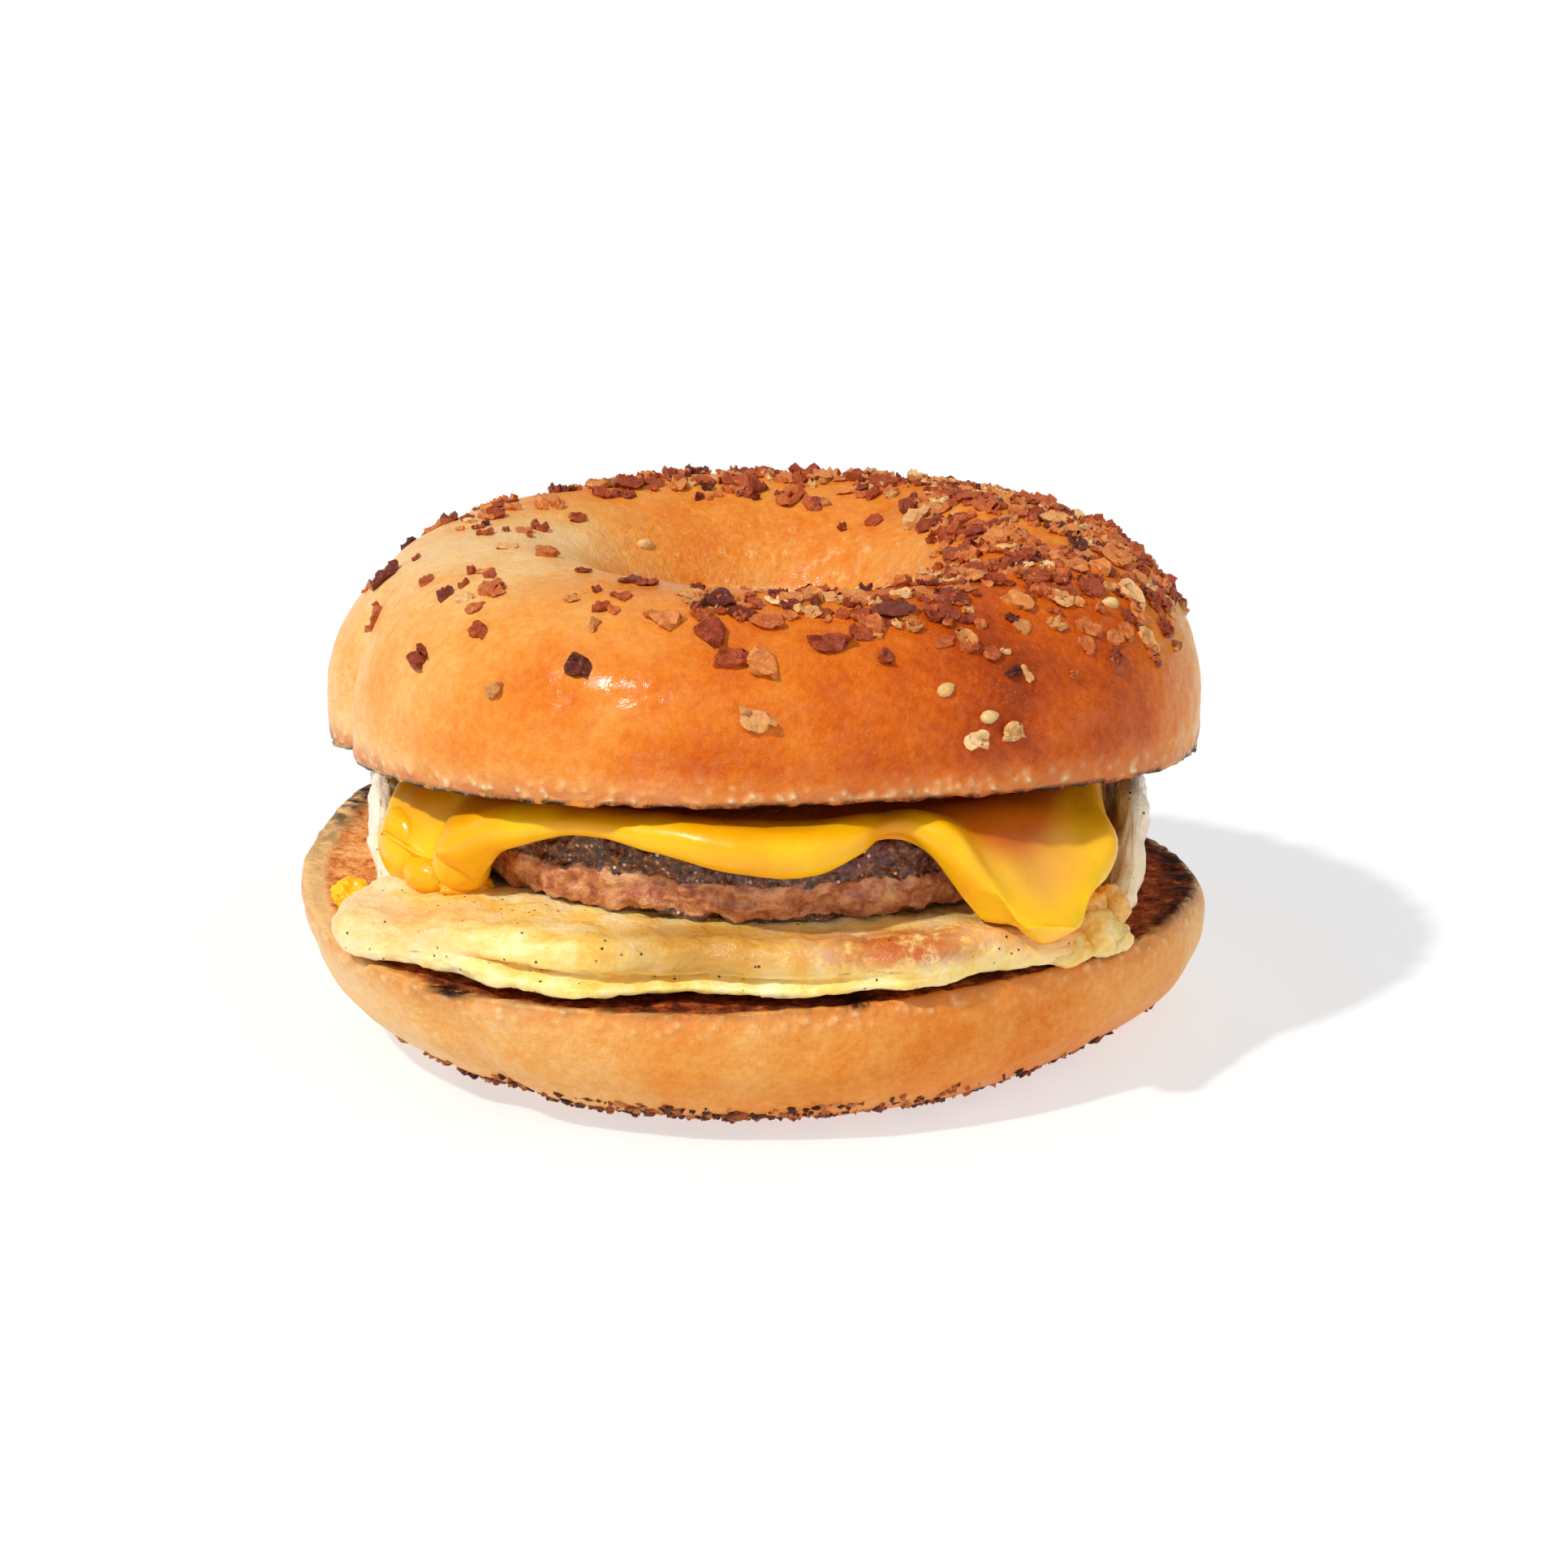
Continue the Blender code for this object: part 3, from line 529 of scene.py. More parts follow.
def plain_disc(name, steps, edge_share, edge_cuts, inner_cuts):
    """A disc of radius 1 and height -1 to 1 with a full round edge, its flat sides inset ring by ring."""
    bpy.ops.object.select_all(action="DESELECT")
    wide = 1.0 / edge_share
    bpy.ops.mesh.primitive_cylinder_add(vertices=steps, radius=wide, depth=2.0, end_fill_type="NGON")
    disc = bpy.context.object
    disc.name = name
    disc.data.name = name
    shape("EDGE")
    done()
    for edge in disc.data.edges:
        ends = [disc.data.vertices[corner].co.z for corner in edge.vertices]
        edge.select = ends[0] * ends[1] > 0.0
    bpy.ops.object.mode_set(mode="EDIT")
    bpy.ops.mesh.bevel(
        offset=0.9999, offset_type="OFFSET", segments=edge_cuts, affect="EDGES", clamp_overlap=False
    )
    bpy.ops.mesh.select_mode(type="FACE")
    for level in (-1.0, 1.0):
        bpy.ops.mesh.select_all(action="DESELECT")
        pick_faces(disc, level - 1e-4, level + 1e-4)
        for _ in range(inner_cuts - 1):
            bpy.ops.mesh.inset(thickness=(wide - 1.0) / inner_cuts, depth=0.0, use_even_offset=True)
        bpy.ops.mesh.poke()
    bpy.ops.mesh.select_all(action="SELECT")
    bpy.ops.mesh.remove_doubles(threshold=1e-5)
    bpy.ops.transform.resize(value=(edge_share, edge_share, 1.0))
    bpy.ops.mesh.normals_make_consistent(inside=False)
    done()
    x, y, z = vertices_of(disc).T
    azimuth = np.arctan2(y, x)
    share = np.hypot(x, y)
    past = np.clip((share - (1.0 - edge_share)) / edge_share, 0.0, 1.0)
    share = np.where(past > 0.0, 1.0 - edge_share + edge_share * past**0.8, share)
    move_vertices(disc, share * np.cos(azimuth), share * np.sin(azimuth), power(z, 0.8))
    return disc


def paint(piece, **painted):
    """Keeps values from 0 to 1 for each vertex, for the materials and for the relief."""
    for name, values in painted.items():
        layer = piece.data.attributes.new(name, "FLOAT", "POINT")
        values = np.clip(np.broadcast_to(values, (len(piece.data.vertices),)), 0.0, 1.0)
        layer.data.foreach_set("value", np.ascontiguousarray(values, dtype=np.float32))


def relief(piece, kind, size, depth, where=None, middle=0.5):
    """Raises a texture out of the surface, at full depth where the painted value is 1.

    Its size and depth are in millimetres, and middle is the tone that stays in place.
    """
    alone(piece)
    pattern = bpy.data.textures.new(piece.name + "_relief", kind)
    pattern.noise_scale = size * MM
    if kind == "CLOUDS":
        pattern.noise_depth = 3
    displace = piece.modifiers.new("relief", "DISPLACE")
    displace.texture = pattern
    displace.texture_coords = "LOCAL"
    displace.strength = depth * MM
    displace.mid_level = middle
    if where is not None:
        group = piece.vertex_groups.new(name=where)
        values = np.empty(len(piece.data.vertices), np.float32)
        piece.data.attributes[where].data.foreach_get("value", values)
        for step in range(1, 21):
            share = step / 20.0
            members = np.nonzero(np.round(values * 20.0) == step)[0].tolist()
            if members:
                group.add(members, share, "REPLACE")
        displace.vertex_group = group.name
    bpy.ops.object.modifier_apply(modifier=displace.name)
    if where is not None:
        piece.vertex_groups.remove(piece.vertex_groups[where])


def finish_piece(piece, material, node):
    """Gives a piece its finish and sets it in the place of its solid, where it has one."""
    piece.data.materials.clear()
    piece.data.materials.append(material)
    for face in piece.data.polygons:
        face.use_smooth = True
    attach(piece, "root")
    if node:
        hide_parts(node)


# Materials


def tint(red, green, blue):
    """A colour given on the 0 to 255 scale, for the shaders."""
    values = [value / 255.0 for value in (red, green, blue)]
    linear = [v / 12.92 if v <= 0.04045 else ((v + 0.055) / 1.055) ** 2.4 for v in values]
    return (*linear, 1.0)


class Finish:
    """A procedural material that is put together node by node; sizes are in millimetres."""

    def __init__(self, name):
        self.material = bpy.data.materials.new(name)
        self.material.use_nodes = True
        self.tree = self.material.node_tree
        self.shader = self.tree.nodes["Principled BSDF"]
        self.coords = self.tree.nodes.new("ShaderNodeTexCoord").outputs["Object"]

    def put(self, socket, value):
        if isinstance(value, bpy.types.NodeSocket):
            self.tree.links.new(value, socket)
        else:
            socket.default_value = value

    def node(self, kind, **inputs):
        """A new node with its inputs set or linked."""
        node = self.tree.nodes.new(kind)
        for name, value in inputs.items():
            self.put(node.inputs[name.replace("_", " ")], value)
        return node

    def attribute(self, name):
        node = self.node("ShaderNodeAttribute")
        node.attribute_name = name
        return node.outputs["Fac"]

    def stretched(self, scale):
        return self.node("ShaderNodeMapping", Vector=self.coords, Scale=scale).outputs["Vector"]

    def noise(self, size, detail, rough, coords=None, distortion=0.0):
        node = self.node(
            "ShaderNodeTexNoise", Vector=coords or self.coords, Scale=1.0 / (size * MM), Detail=detail,
            Roughness=rough, Distortion=distortion,
        )
        return node.outputs["Fac"]

    def cells(self, size, feature="F1"):
        node = self.node("ShaderNodeTexVoronoi", Vector=self.coords, Scale=1.0 / (size * MM))
        node.feature = feature
        return node.outputs["Distance"]

    def math(self, kind, first, second, clamp=False):
        node = self.tree.nodes.new("ShaderNodeMath")
        node.operation = kind
        node.use_clamp = clamp
        self.put(node.inputs[0], first)
        self.put(node.inputs[1], second)
        return node.outputs["Value"]

    def times(self, first, second, clamp=False):
        return self.math("MULTIPLY", first, second, clamp)

    def plus(self, first, second, clamp=False):
        return self.math("ADD", first, second, clamp)

    def swing(self, pattern, gain):
        """A pattern of 0 to 1, swung round zero."""
        return self.times(self.math("SUBTRACT", pattern, 0.5), gain)

    def span(self, value, low, high, to_low=0.0, to_high=1.0):
        node = self.node(
            "ShaderNodeMapRange", Value=value, From_Min=low, From_Max=high, To_Min=to_low, To_Max=to_high
        )
        node.interpolation_type = "SMOOTHSTEP"
        return node.outputs["Result"]

    def ramp(self, value, stops):
        node = self.node("ShaderNodeValToRGB", Fac=value)
        node.color_ramp.interpolation = "B_SPLINE" if len(stops) > 3 else "LINEAR"
        while len(node.color_ramp.elements) < len(stops):
            node.color_ramp.elements.new(0.5)
        for element, (place, colour) in zip(node.color_ramp.elements, stops):
            element.position = place
            element.color = tint(*colour)
        return node.outputs["Color"]

    def mix(self, share, first, second):
        node = self.node("ShaderNodeMix", Factor=share)
        node.data_type = "RGBA"
        for socket, value in ((node.inputs[6], first), (node.inputs[7], second)):
            self.put(socket, tint(*value) if isinstance(value, tuple) else value)
        return node.outputs[2]

    def raised(self, height, distance, strength, under=None):
        node = self.node("ShaderNodeBump", Height=height, Distance=distance * MM, Strength=strength)
        if under is not None:
            self.put(node.inputs["Normal"], under)
        return node.outputs["Normal"]

    def surface(self, colour, roughness, normal=None, **fixed):
        inputs = self.shader.inputs
        self.put(inputs["Base Color"], colour)
        self.put(inputs["Roughness"], roughness)
        if normal is not None:
            self.put(inputs["Normal"], normal)
        for name, value in fixed.items():
            inputs[name.replace("_", " ").title().replace("Ior", "IOR")].default_value = value
        return self.material


CRUST_STOPS = (
    (0.00, (250, 208, 146)),
    (0.20, (242, 174, 84)),
    (0.48, (232, 124, 14)),
    (0.74, (204, 78, 2)),
    (1.00, (120, 38, 6)),
)
CRUMB_STOPS = (
    (0.08, (255, 208, 136)),
    (0.34, (240, 154, 80)),
    (0.56, (188, 84, 34)),
    (0.80, (112, 42, 18)),
    (1.00, (40, 14, 8)),
)
BLISTER_STOPS = ((0.0, (216, 128, 68)), (0.5, (238, 170, 108)), (1.0, (252, 212, 160)))
CHARRED = (40, 14, 8)


def crust_finish(name, gloss, speckle, glaze):
    """Baked crust with a blistered rim, and the toasted crumb of its cut face; its browning also carries
    painted light and shade, and the hole has painted highlight streaks.
    """
    f = Finish(name)
    rim = f.attribute("rim")
    cut = f.attribute("cut_face")
    wall = f.attribute("hole_wall")
    fine = f.noise(1.2, 5.0, 0.75)
    streaks = f.noise(1.1, 4.0, 0.6, f.stretched((1.0, 1.0, 0.07)))
    # Painted light: the browning level is paler on the lit left side and on the right side of the crust.
    level = f.plus(f.attribute("bake"), f.swing(f.noise(13.0, 5.0, 0.6), 0.6))
    colour = f.ramp(f.plus(level, f.swing(fine, 0.46), clamp=True), CRUST_STOPS)
    grain = f.span(f.cells(0.6), 0.05, 0.40, 1.0, 0.0)
    grain = f.times(grain, f.span(f.noise(4.0, 3.0, 0.6), 0.40, 0.62, 0.0, speckle))
    colour = f.mix(grain, colour, (250, 196, 128))
    pale = f.times(wall, f.span(streaks, 0.54, 0.72), clamp=True)
    colour = f.mix(f.times(pale, 0.5), colour, (255, 222, 160))
    # Painted highlight: near-white streaks on the lit far wall of the hole.
    lit_streaks = f.times(f.attribute("streaked"), f.span(streaks, 0.46, 0.60), clamp=True)
    colour = f.mix(lit_streaks, colour, (255, 240, 204))
    blister = f.span(f.cells(1.5, "SMOOTH_F1"), 0.05, 0.55, 1.0, 0.0)
    broken = f.span(f.noise(5.0, 3.0, 0.6), 0.35, 0.62)
    band = f.times(rim, f.plus(f.times(broken, 0.6), 0.7), clamp=True)
    colour = f.mix(band, colour, f.ramp(blister, BLISTER_STOPS))
    # The toast level of the cut face also carries painted shade at the heel's front, under the egg.
    crumb = f.plus(f.attribute("toast"), f.swing(f.noise(2.2, 6.0, 0.8), 1.9), clamp=True)
    colour = f.mix(cut, colour, f.ramp(crumb, CRUMB_STOPS))
    burnt = f.times(f.attribute("char"), f.span(f.noise(3.6, 5.0, 0.7), 0.36, 0.56), clamp=True)
    colour = f.mix(burnt, colour, CHARRED)
    rough = f.plus(f.plus(f.times(cut, 0.4), gloss), f.swing(fine, 0.3), clamp=True)
    skin = f.raised(f.noise(0.9, 5.0, 0.7), 0.45, 0.8)
    skin = f.raised(f.noise(3.5, 3.0, 0.6, distortion=0.8), 0.5, 0.5, skin)
    skin = f.raised(f.times(streaks, wall), 0.6, 0.7, skin)
    skin = f.raised(f.times(blister, band), 0.7, 0.8, skin)
    skin = f.raised(f.times(f.noise(1.4, 4.0, 0.6), cut), 0.5, 0.5, skin)
    oiled = f.times(f.span(f.noise(2.6, 4.0, 0.7), 0.40, 0.62), f.attribute("glaze"))
    oiled = f.times(oiled, f.math("SUBTRACT", 1.0, cut))
    f.put(f.shader.inputs["Coat Weight"], f.times(oiled, glaze))
    f.put(f.shader.inputs["Coat Normal"], f.raised(f.noise(3.2, 4.0, 0.6, distortion=0.8), 0.5, 0.30))
    return f.surface(colour, rough, skin, specular_ior_level=0.12, coat_roughness=0.20)


def chip_finish(name, roughness, *stops):
    """Toasted bits, each in a tone of its own."""
    f = Finish(name)
    level = f.plus(f.attribute("tone"), f.swing(f.noise(0.9, 4.0, 0.6), 0.7), clamp=True)
    normal = f.raised(f.noise(0.7, 4.0, 0.7, distortion=0.6), 0.5, 0.9)
    return f.surface(f.ramp(level, stops), roughness, normal, specular_ior_level=0.45)


def egg_finish():
    """Pale egg with wet, browned and yolky places and fine dark specks."""
    f = Finish("cooked_egg")
    level = f.plus(f.times(f.noise(4.5, 5.0, 0.6), 0.8), f.times(f.noise(1.2, 3.0, 0.6), 0.25))
    colour = f.ramp(
        level,
        ((0.30, (248, 184, 66)), (0.45, (255, 214, 106)), (0.57, (255, 229, 150)), (0.72, (255, 241, 200))),
    )
    colour = f.mix(f.times(f.attribute("wet"), 0.9), colour, (190, 134, 36))
    brown = f.times(f.attribute("browned"), f.span(f.noise(2.4, 5.0, 0.7), 0.30, 0.54), clamp=True)
    colour = f.mix(brown, colour, (196, 98, 26))
    colour = f.mix(f.attribute("pale"), colour, (255, 238, 222))
    colour = f.mix(f.attribute("yolk"), colour, (244, 150, 24))
    specks = f.span(f.cells(1.5), 0.08, 0.17, 1.0, 0.0)
    specks = f.times(specks, f.span(f.noise(6.0, 2.0, 0.5), 0.44, 0.54))
    colour = f.mix(specks, colour, (58, 40, 16))
    normal = f.raised(f.noise(2.4, 5.0, 0.62), 0.9, 0.6)
    normal = f.raised(f.noise(0.7, 3.0, 0.6), 0.25, 0.6, normal)
    rough = f.span(f.noise(3.0, 3.0, 0.6), 0.3, 0.7, 0.30, 0.55)
    return f.surface(
        colour, rough, normal, subsurface_weight=0.25, subsurface_radius=(0.004, 0.0025, 0.001),
        subsurface_scale=1.0,
    )


def patty_finish():
    """Browned meat with bits of fat, and a dark, greasy seared side with painted glints."""
    f = Finish("browned_sausage")
    meat = f.ramp(
        f.noise(2.4, 6.0, 0.72),
        ((0.28, (116, 44, 24)), (0.42, (178, 90, 50)), (0.53, (218, 138, 88)), (0.68, (244, 192, 136))),
    )
    fat = f.times(f.span(f.cells(3.6), 0.10, 0.30, 1.0, 0.0), f.span(f.noise(6.0, 2.0, 0.5), 0.50, 0.62))
    meat = f.mix(f.times(fat, 0.7), meat, (240, 196, 104))
    crust = f.ramp(
        f.noise(1.0, 5.0, 0.75),
        ((0.34, (26, 12, 10)), (0.47, (74, 34, 22)), (0.58, (146, 80, 46)), (0.70, (236, 176, 130))),
    )
    level = f.plus(f.attribute("seared"), f.swing(f.noise(3.0, 4.0, 0.6), 1.3))
    share = f.span(level, 0.44, 0.60)
    colour = f.mix(share, meat, crust)
    colour = f.mix(f.times(f.attribute("red"), 0.5), colour, (120, 36, 18))
    rough = f.span(f.noise(1.0, 3.0, 0.6), 0.35, 0.65, 0.12, 0.42)
    grains = f.times(f.cells(1.3, "SMOOTH_F1"), share)
    # Painted glints: small near-white spots on the seared crust stand in for sparkling highlights.
    painted_glints = f.times(f.span(f.cells(1.1), 0.14, 0.28, 1.0, 0.0), share)
    painted_glints = f.times(painted_glints, f.span(f.noise(2.0, 2.0, 0.5), 0.44, 0.56))
    colour = f.mix(f.times(painted_glints, 0.85), colour, (255, 226, 204))
    normal = f.raised(grains, 1.4, 1.0, f.raised(f.noise(1.4, 5.0, 0.7), 0.9, 0.9))
    return f.surface(colour, rough, normal, specular_ior_level=0.6, coat_weight=0.6, coat_roughness=0.10)


def cheese_finish():
    """Glossy melted cheese, darker where it is thin or lies in shade."""
    f = Finish("melted_cheese")
    tones = ((0.30, (255, 202, 2)), (0.5, (255, 190, 3)), (0.75, (254, 172, 6)))
    colour = f.ramp(f.noise(8.0, 3.0, 0.5), tones)
    # Thin places turn darker orange; the painted shade under the crown's rim is kept with them.
    colour = f.mix(f.times(f.attribute("thin"), 0.7), colour, (240, 132, 16))
    colour = f.mix(f.attribute("dull"), colour, (250, 180, 70))
    colour = f.mix(f.times(f.attribute("shaded"), 0.9), colour, (206, 88, 12))
    normal = f.raised(f.noise(5.0, 3.0, 0.5), 0.4, 0.5)
    rough = f.span(f.noise(6.0, 3.0, 0.6), 0.3, 0.7, 0.20, 0.40)
    return f.surface(
        colour, rough, normal, specular_ior_level=0.4, subsurface_weight=0.25,
        subsurface_radius=(0.006, 0.0025, 0.0008), subsurface_scale=1.0,
    )


# The bagel halves

round_steps = 480
disc_steps = 400


def rim_values(ring, cut):
    """Plain coordinates of a ring, what is cut face, and how near the crust is to the cut."""
    x, y, z = vertices_of(ring).T
    on_cut = np.abs(z - cut) < CUT_TOLERANCE
    near_cut = np.exp(-(((z - cut) / BLISTER_BAND) ** 2))
    return x, y, z, np.hypot(x, y), np.arctan2(y, x), on_cut, near_cut


heel = halved_ring(
    "toasted_heel", HEEL_HOLE, HEEL_RADIUS, HEEL_BELLY, HEEL_HEIGHT, -HEEL_BELLY, HEEL_BEYOND_CUT,
    HEEL_ROUNDNESS, HEEL_ROUNDNESS, round_steps, 150, 56,
)
x, y, z, radius, azimuth, on_cut, near_cut = rim_values(heel, HEEL_HEIGHT)
outside = smooth(46.0 * MM, 50.0 * MM, radius)
rim_radius = HEEL_RADIUS - 1.2 * MM
cut_radius = rim_radius - 2.4 * MM * near(azimuth, 190.0, 40.0)
front_side = near(azimuth, -95.0, 50.0)
toast = 0.42 - 0.14 * near(azimuth, 168.0, 34.0) + 0.31 * near(azimuth, 20.0, 52.0)
edge_char = np.exp(-(((radius - rim_radius + 1.2 * MM) / (2.0 * MM)) ** 2))
edge_char = edge_char * smooth(HEEL_HEIGHT - 1.2 * MM, HEEL_HEIGHT, z)
spots = near(azimuth, 12.0, 36.0) + 0.9 * near(azimuth, 150.0, 26.0) + near(azimuth, -128.5, 2.5)
spots = spots + near(azimuth, -76.5, 2.0) + near(azimuth, -36.0, 3.0) + 0.35 * front_side
# Painted light: the crust is painted paler at the left, where the key light falls, and high on the right, as
# if lit by the fill light; it is browner at the front right.
bake = 0.27 + 0.16 * near(azimuth, -50.0, 40.0) - 0.30 * near(azimuth, 185.0, 50.0)
bake = bake - 0.24 * near(azimuth, 8.0, 30.0) * smooth(4.0 * MM, 9.0 * MM, z)
paint(
    heel,
    cut_face=on_cut * smooth(cut_radius, cut_radius - 0.9 * MM, radius),
    rim=0.5 * outside * near_cut * (1.0 - on_cut),
    ragged=outside * np.exp(-(((z - HEEL_HEIGHT) / (0.9 * MM)) ** 2)),
    # Painted shade: the front of the cut face is darker, partly toast and partly where it lies in shade
    # under the egg.
    toast=toast + 0.30 * front_side,
    char=edge_char * spots * 1.6,
    bake=bake + 0.34 * smooth(3.5 * MM, 0.0, z),
    crust=1.0 - on_cut,
    glaze=1.0 - on_cut,
    hole_wall=smooth(27.0 * MM, 17.0 * MM, radius) * (1.0 - on_cut),
    underside=smooth(2.6 * MM, 0.8 * MM, z),
)
move_vertices(heel, *heel_form(x, y, z))
relief(heel, "CLOUDS", 3.0, 1.0, "cut_face", 0.62)
relief(heel, "CLOUDS", 6.0, 0.5, "crust")
relief(heel, "CLOUDS", 2.2, 0.9, "ragged")
relief(heel, "CLOUDS", 1.6, 1.2, "underside", 0.7)
finish_piece(heel, crust_finish("heel_crust", 0.46, 0.22, 0.15), "bagel_heel")

crown = halved_ring(
    "toasted_crown", CROWN_HOLE, CROWN_RADIUS, CROWN_BELLY, 0.0, CROWN_HEIGHT - CROWN_BELLY,
    CROWN_BEYOND_CUT, CROWN_ROUNDNESS, CROWN_HOLE_ROUNDNESS, round_steps, 200, 50,
)
x, y, z, radius, azimuth, on_cut, near_cut = rim_values(crown, 0.0)
outside = smooth(42.0 * MM, 46.0 * MM, radius)
hole_wall = smooth(27.0 * MM, 17.0 * MM, radius)
# Painted light: the crust is painted paler at the left, where the key light falls, and low on the right, as
# if lit by the fill light; it is browner at the front right and a little paler on top.
bake = 0.54 + 0.30 * near(azimuth, -47.0, 36.0) - 0.42 * near(azimuth, 185.0, 44.0)
bake = bake - 0.52 * near(azimuth, 6.0, 28.0) * smooth(22.0 * MM, 13.0 * MM, z)
bake = bake - 0.10 * smooth(16.0 * MM, 23.0 * MM, z)
bake = bake - 0.16 * smooth(6.0 * MM, 1.0 * MM, z) * outside
# Painted highlight: pale streaks on the far wall of the hole, where the light falls.
streaked = near(azimuth, 96.0, 26.0) * smooth(17.5 * MM, 15.0 * MM, radius)
streaked = streaked * smooth(15.0 * MM, 11.0 * MM, z)
paint(
    crown,
    cut_face=on_cut * smooth(CROWN_RADIUS - 0.6 * MM, CROWN_RADIUS - 1.6 * MM, radius),
    rim=outside * near_cut * (1.0 - on_cut),
    ragged=outside * np.exp(-((z / (0.8 * MM)) ** 2)),
    toast=0.55 + 0.2 * near(azimuth, 0.0, 60.0),
    char=outside * smooth(0.9 * MM, 0.1 * MM, z) * 1.1,
    bake=bake * (1.0 - hole_wall) + 0.36 * hole_wall,
    hole_wall=hole_wall,
    streaked=0.85 * streaked * smooth(4.0 * MM, 6.0 * MM, z),
    crust=1.0 - on_cut,
    glaze=0.30 + 0.70 * near(azimuth, -108.0, 20.0) + 0.5 * hole_wall,
)
move_vertices(crown, *crown_form(x, y, z))
relief(crown, "CLOUDS", 4.0, 1.0, "cut_face", 0.62)
relief(crown, "CLOUDS", 5.0, 0.5, "crust")
relief(crown, "VORONOI", 2.4, 1.0, "rim")
relief(crown, "CLOUDS", 1.8, 1.1, "ragged")
crown.data.transform(CROWN_PLACE)
finish_piece(crown, crust_finish("crown_crust", 0.36, 0.12, 0.9), "bagel_crown")

# The filling


def disc_values(disc):
    """Plain coordinates of a disc, the azimuth and the share of the way out."""
    x, y, z = vertices_of(disc).T
    return x, y, z, np.arctan2(y, x), np.hypot(x, y)


egg = plain_disc("folded_egg", disc_steps, 0.07, 34, 44)
x, y, z, azimuth, share = disc_values(egg)
top = smooth(-0.2, 0.6, z)
last_tenth = smooth(0.90, 0.97, share)
corner = near(azimuth, -42.0, 8.0) * smooth(0.80, 0.92, share)
left_yolk = 0.5 * near(azimuth, -134.0, 9.0) * smooth(0.78, 0.9, share) * top
browned = near(azimuth, -68.0, 14.0) * smooth(0.84, 0.93, share) * top
paint(
    egg,
    wet=near(azimuth, -94.0, 13.0) * smooth(0.80, 0.88, share) * smooth(-0.15, 0.15, z),
    browned=browned + 0.6 * smooth(-0.5, -1.0, z),
    pale=near(azimuth, 180.0, 34.0) * smooth(0.82, 0.92, share) + near(azimuth, 0.0, 34.0) * last_tenth,
    yolk=0.85 * corner * smooth(-0.7, 0.1, z) + left_yolk,
    corner=corner,
    curl=last_tenth * (near(azimuth, 0.0, 34.0) + 0.6 * near(azimuth, 180.0, 24.0)),
)
move_vertices(egg, *egg_form(x, y, z))
relief(egg, "CLOUDS", 5.0, 1.4)
relief(egg, "CLOUDS", 1.7, 0.7)
relief(egg, "CLOUDS", 3.0, 2.6, "corner")
relief(egg, "CLOUDS", 3.6, 2.4, "curl")
egg_surface = egg_finish()
finish_piece(egg, egg_surface, "egg")

patty = plain_disc("sausage", disc_steps, 0.08, 40, 36)
x, y, z, azimuth, share = disc_values(patty)
paint(
    patty,
    seared=smooth(-0.35, 0.35, z) + smooth(-0.8, -1.0, z),
    red=near(azimuth, -75.0, 12.0) * smooth(0.0, 0.5, z),
)
move_vertices(patty, *patty_form(x, y, z))
relief(patty, "CLOUDS", 5.0, 2.8)
relief(patty, "VORONOI", 2.2, 1.3)
relief(patty, "CLOUDS", 1.6, 0.7)
finish_piece(patty, patty_finish(), "sausage_patty")

cheese = plain_disc("melted_cheese", disc_steps, 0.04, 26, 70)
x, y, z, azimuth, share = disc_values(cheese)
bend = smooth(0.90, 0.72, share)
thin = near(azimuth, -68.0, 5.0) * smooth(0.7, 0.9, share)
thin = thin + near(azimuth, -155.0, 7.0) * smooth(0.94, 0.99, share)
# Painted shade: the cheese just under the crown's rim is tinted darker orange, as in the crown's shadow.
painted_shade_under_crown = 0.32 * bend * (near(azimuth, -95.0, 34.0) + near(azimuth, -150.0, 16.0))
shaded = smooth(0.74, 0.62, share) + 0.35 * bend
dull = 0.9 * near(azimuth, -45.0, 8.0) * smooth(0.68, 0.74, share) * smooth(0.93, 0.84, share)
paint(
    cheese,
    thin=thin + painted_shade_under_crown,
    shaded=shaded + near(azimuth, -47.0, 12.0) * smooth(0.82, 0.70, share),
    dull=dull,
)
move_vertices(cheese, *cheese_form(x, y, z))
relief(cheese, "CLOUDS", 9.0, 0.7)
cheese_surface = cheese_finish()
finish_piece(cheese, cheese_surface, "cheese_slice")


# Onion flakes, garlic bits and seeds


def crumpled_flake(number):
    """A bit of onion that dried and crumpled in the oven, in a square of 2 by 2 with its foot below 0."""
    bpy.ops.object.select_all(action="DESELECT")
    bpy.ops.mesh.primitive_grid_add(x_subdivisions=5, y_subdivisions=4, size=2.0)
    flake = bpy.context.object
    x, y, z = vertices_of(flake).T
    seed = 7.3 * number
    corner = np.maximum(1.0, np.hypot(x, y) / (0.92 + 0.22 * lump(x, y, z, 0.9, seed)))
    x, y = x / corner, y / corner
    curl = 0.35 * (x * math.cos(seed) + y * math.sin(seed)) ** 2
    height = 0.45 + 0.75 * lump(x, y, 0.0 * z, 0.62, seed + 3.0) + curl
    sideways = 0.16 * lump(x, y, 0.0 * z, 0.5, seed + 9.0)
    move_vertices(flake, x + sideways, y - sideways, height)
    alone(flake)
    solid = flake.modifiers.new("solid", "SOLIDIFY")
    solid.thickness = 0.62
    solid.offset = -1.0
    bpy.ops.object.modifier_apply(modifier=solid.name)
    shape("VERT", "SELECT")
    bpy.ops.mesh.normals_make_consistent(inside=False)
    done()
    return flake


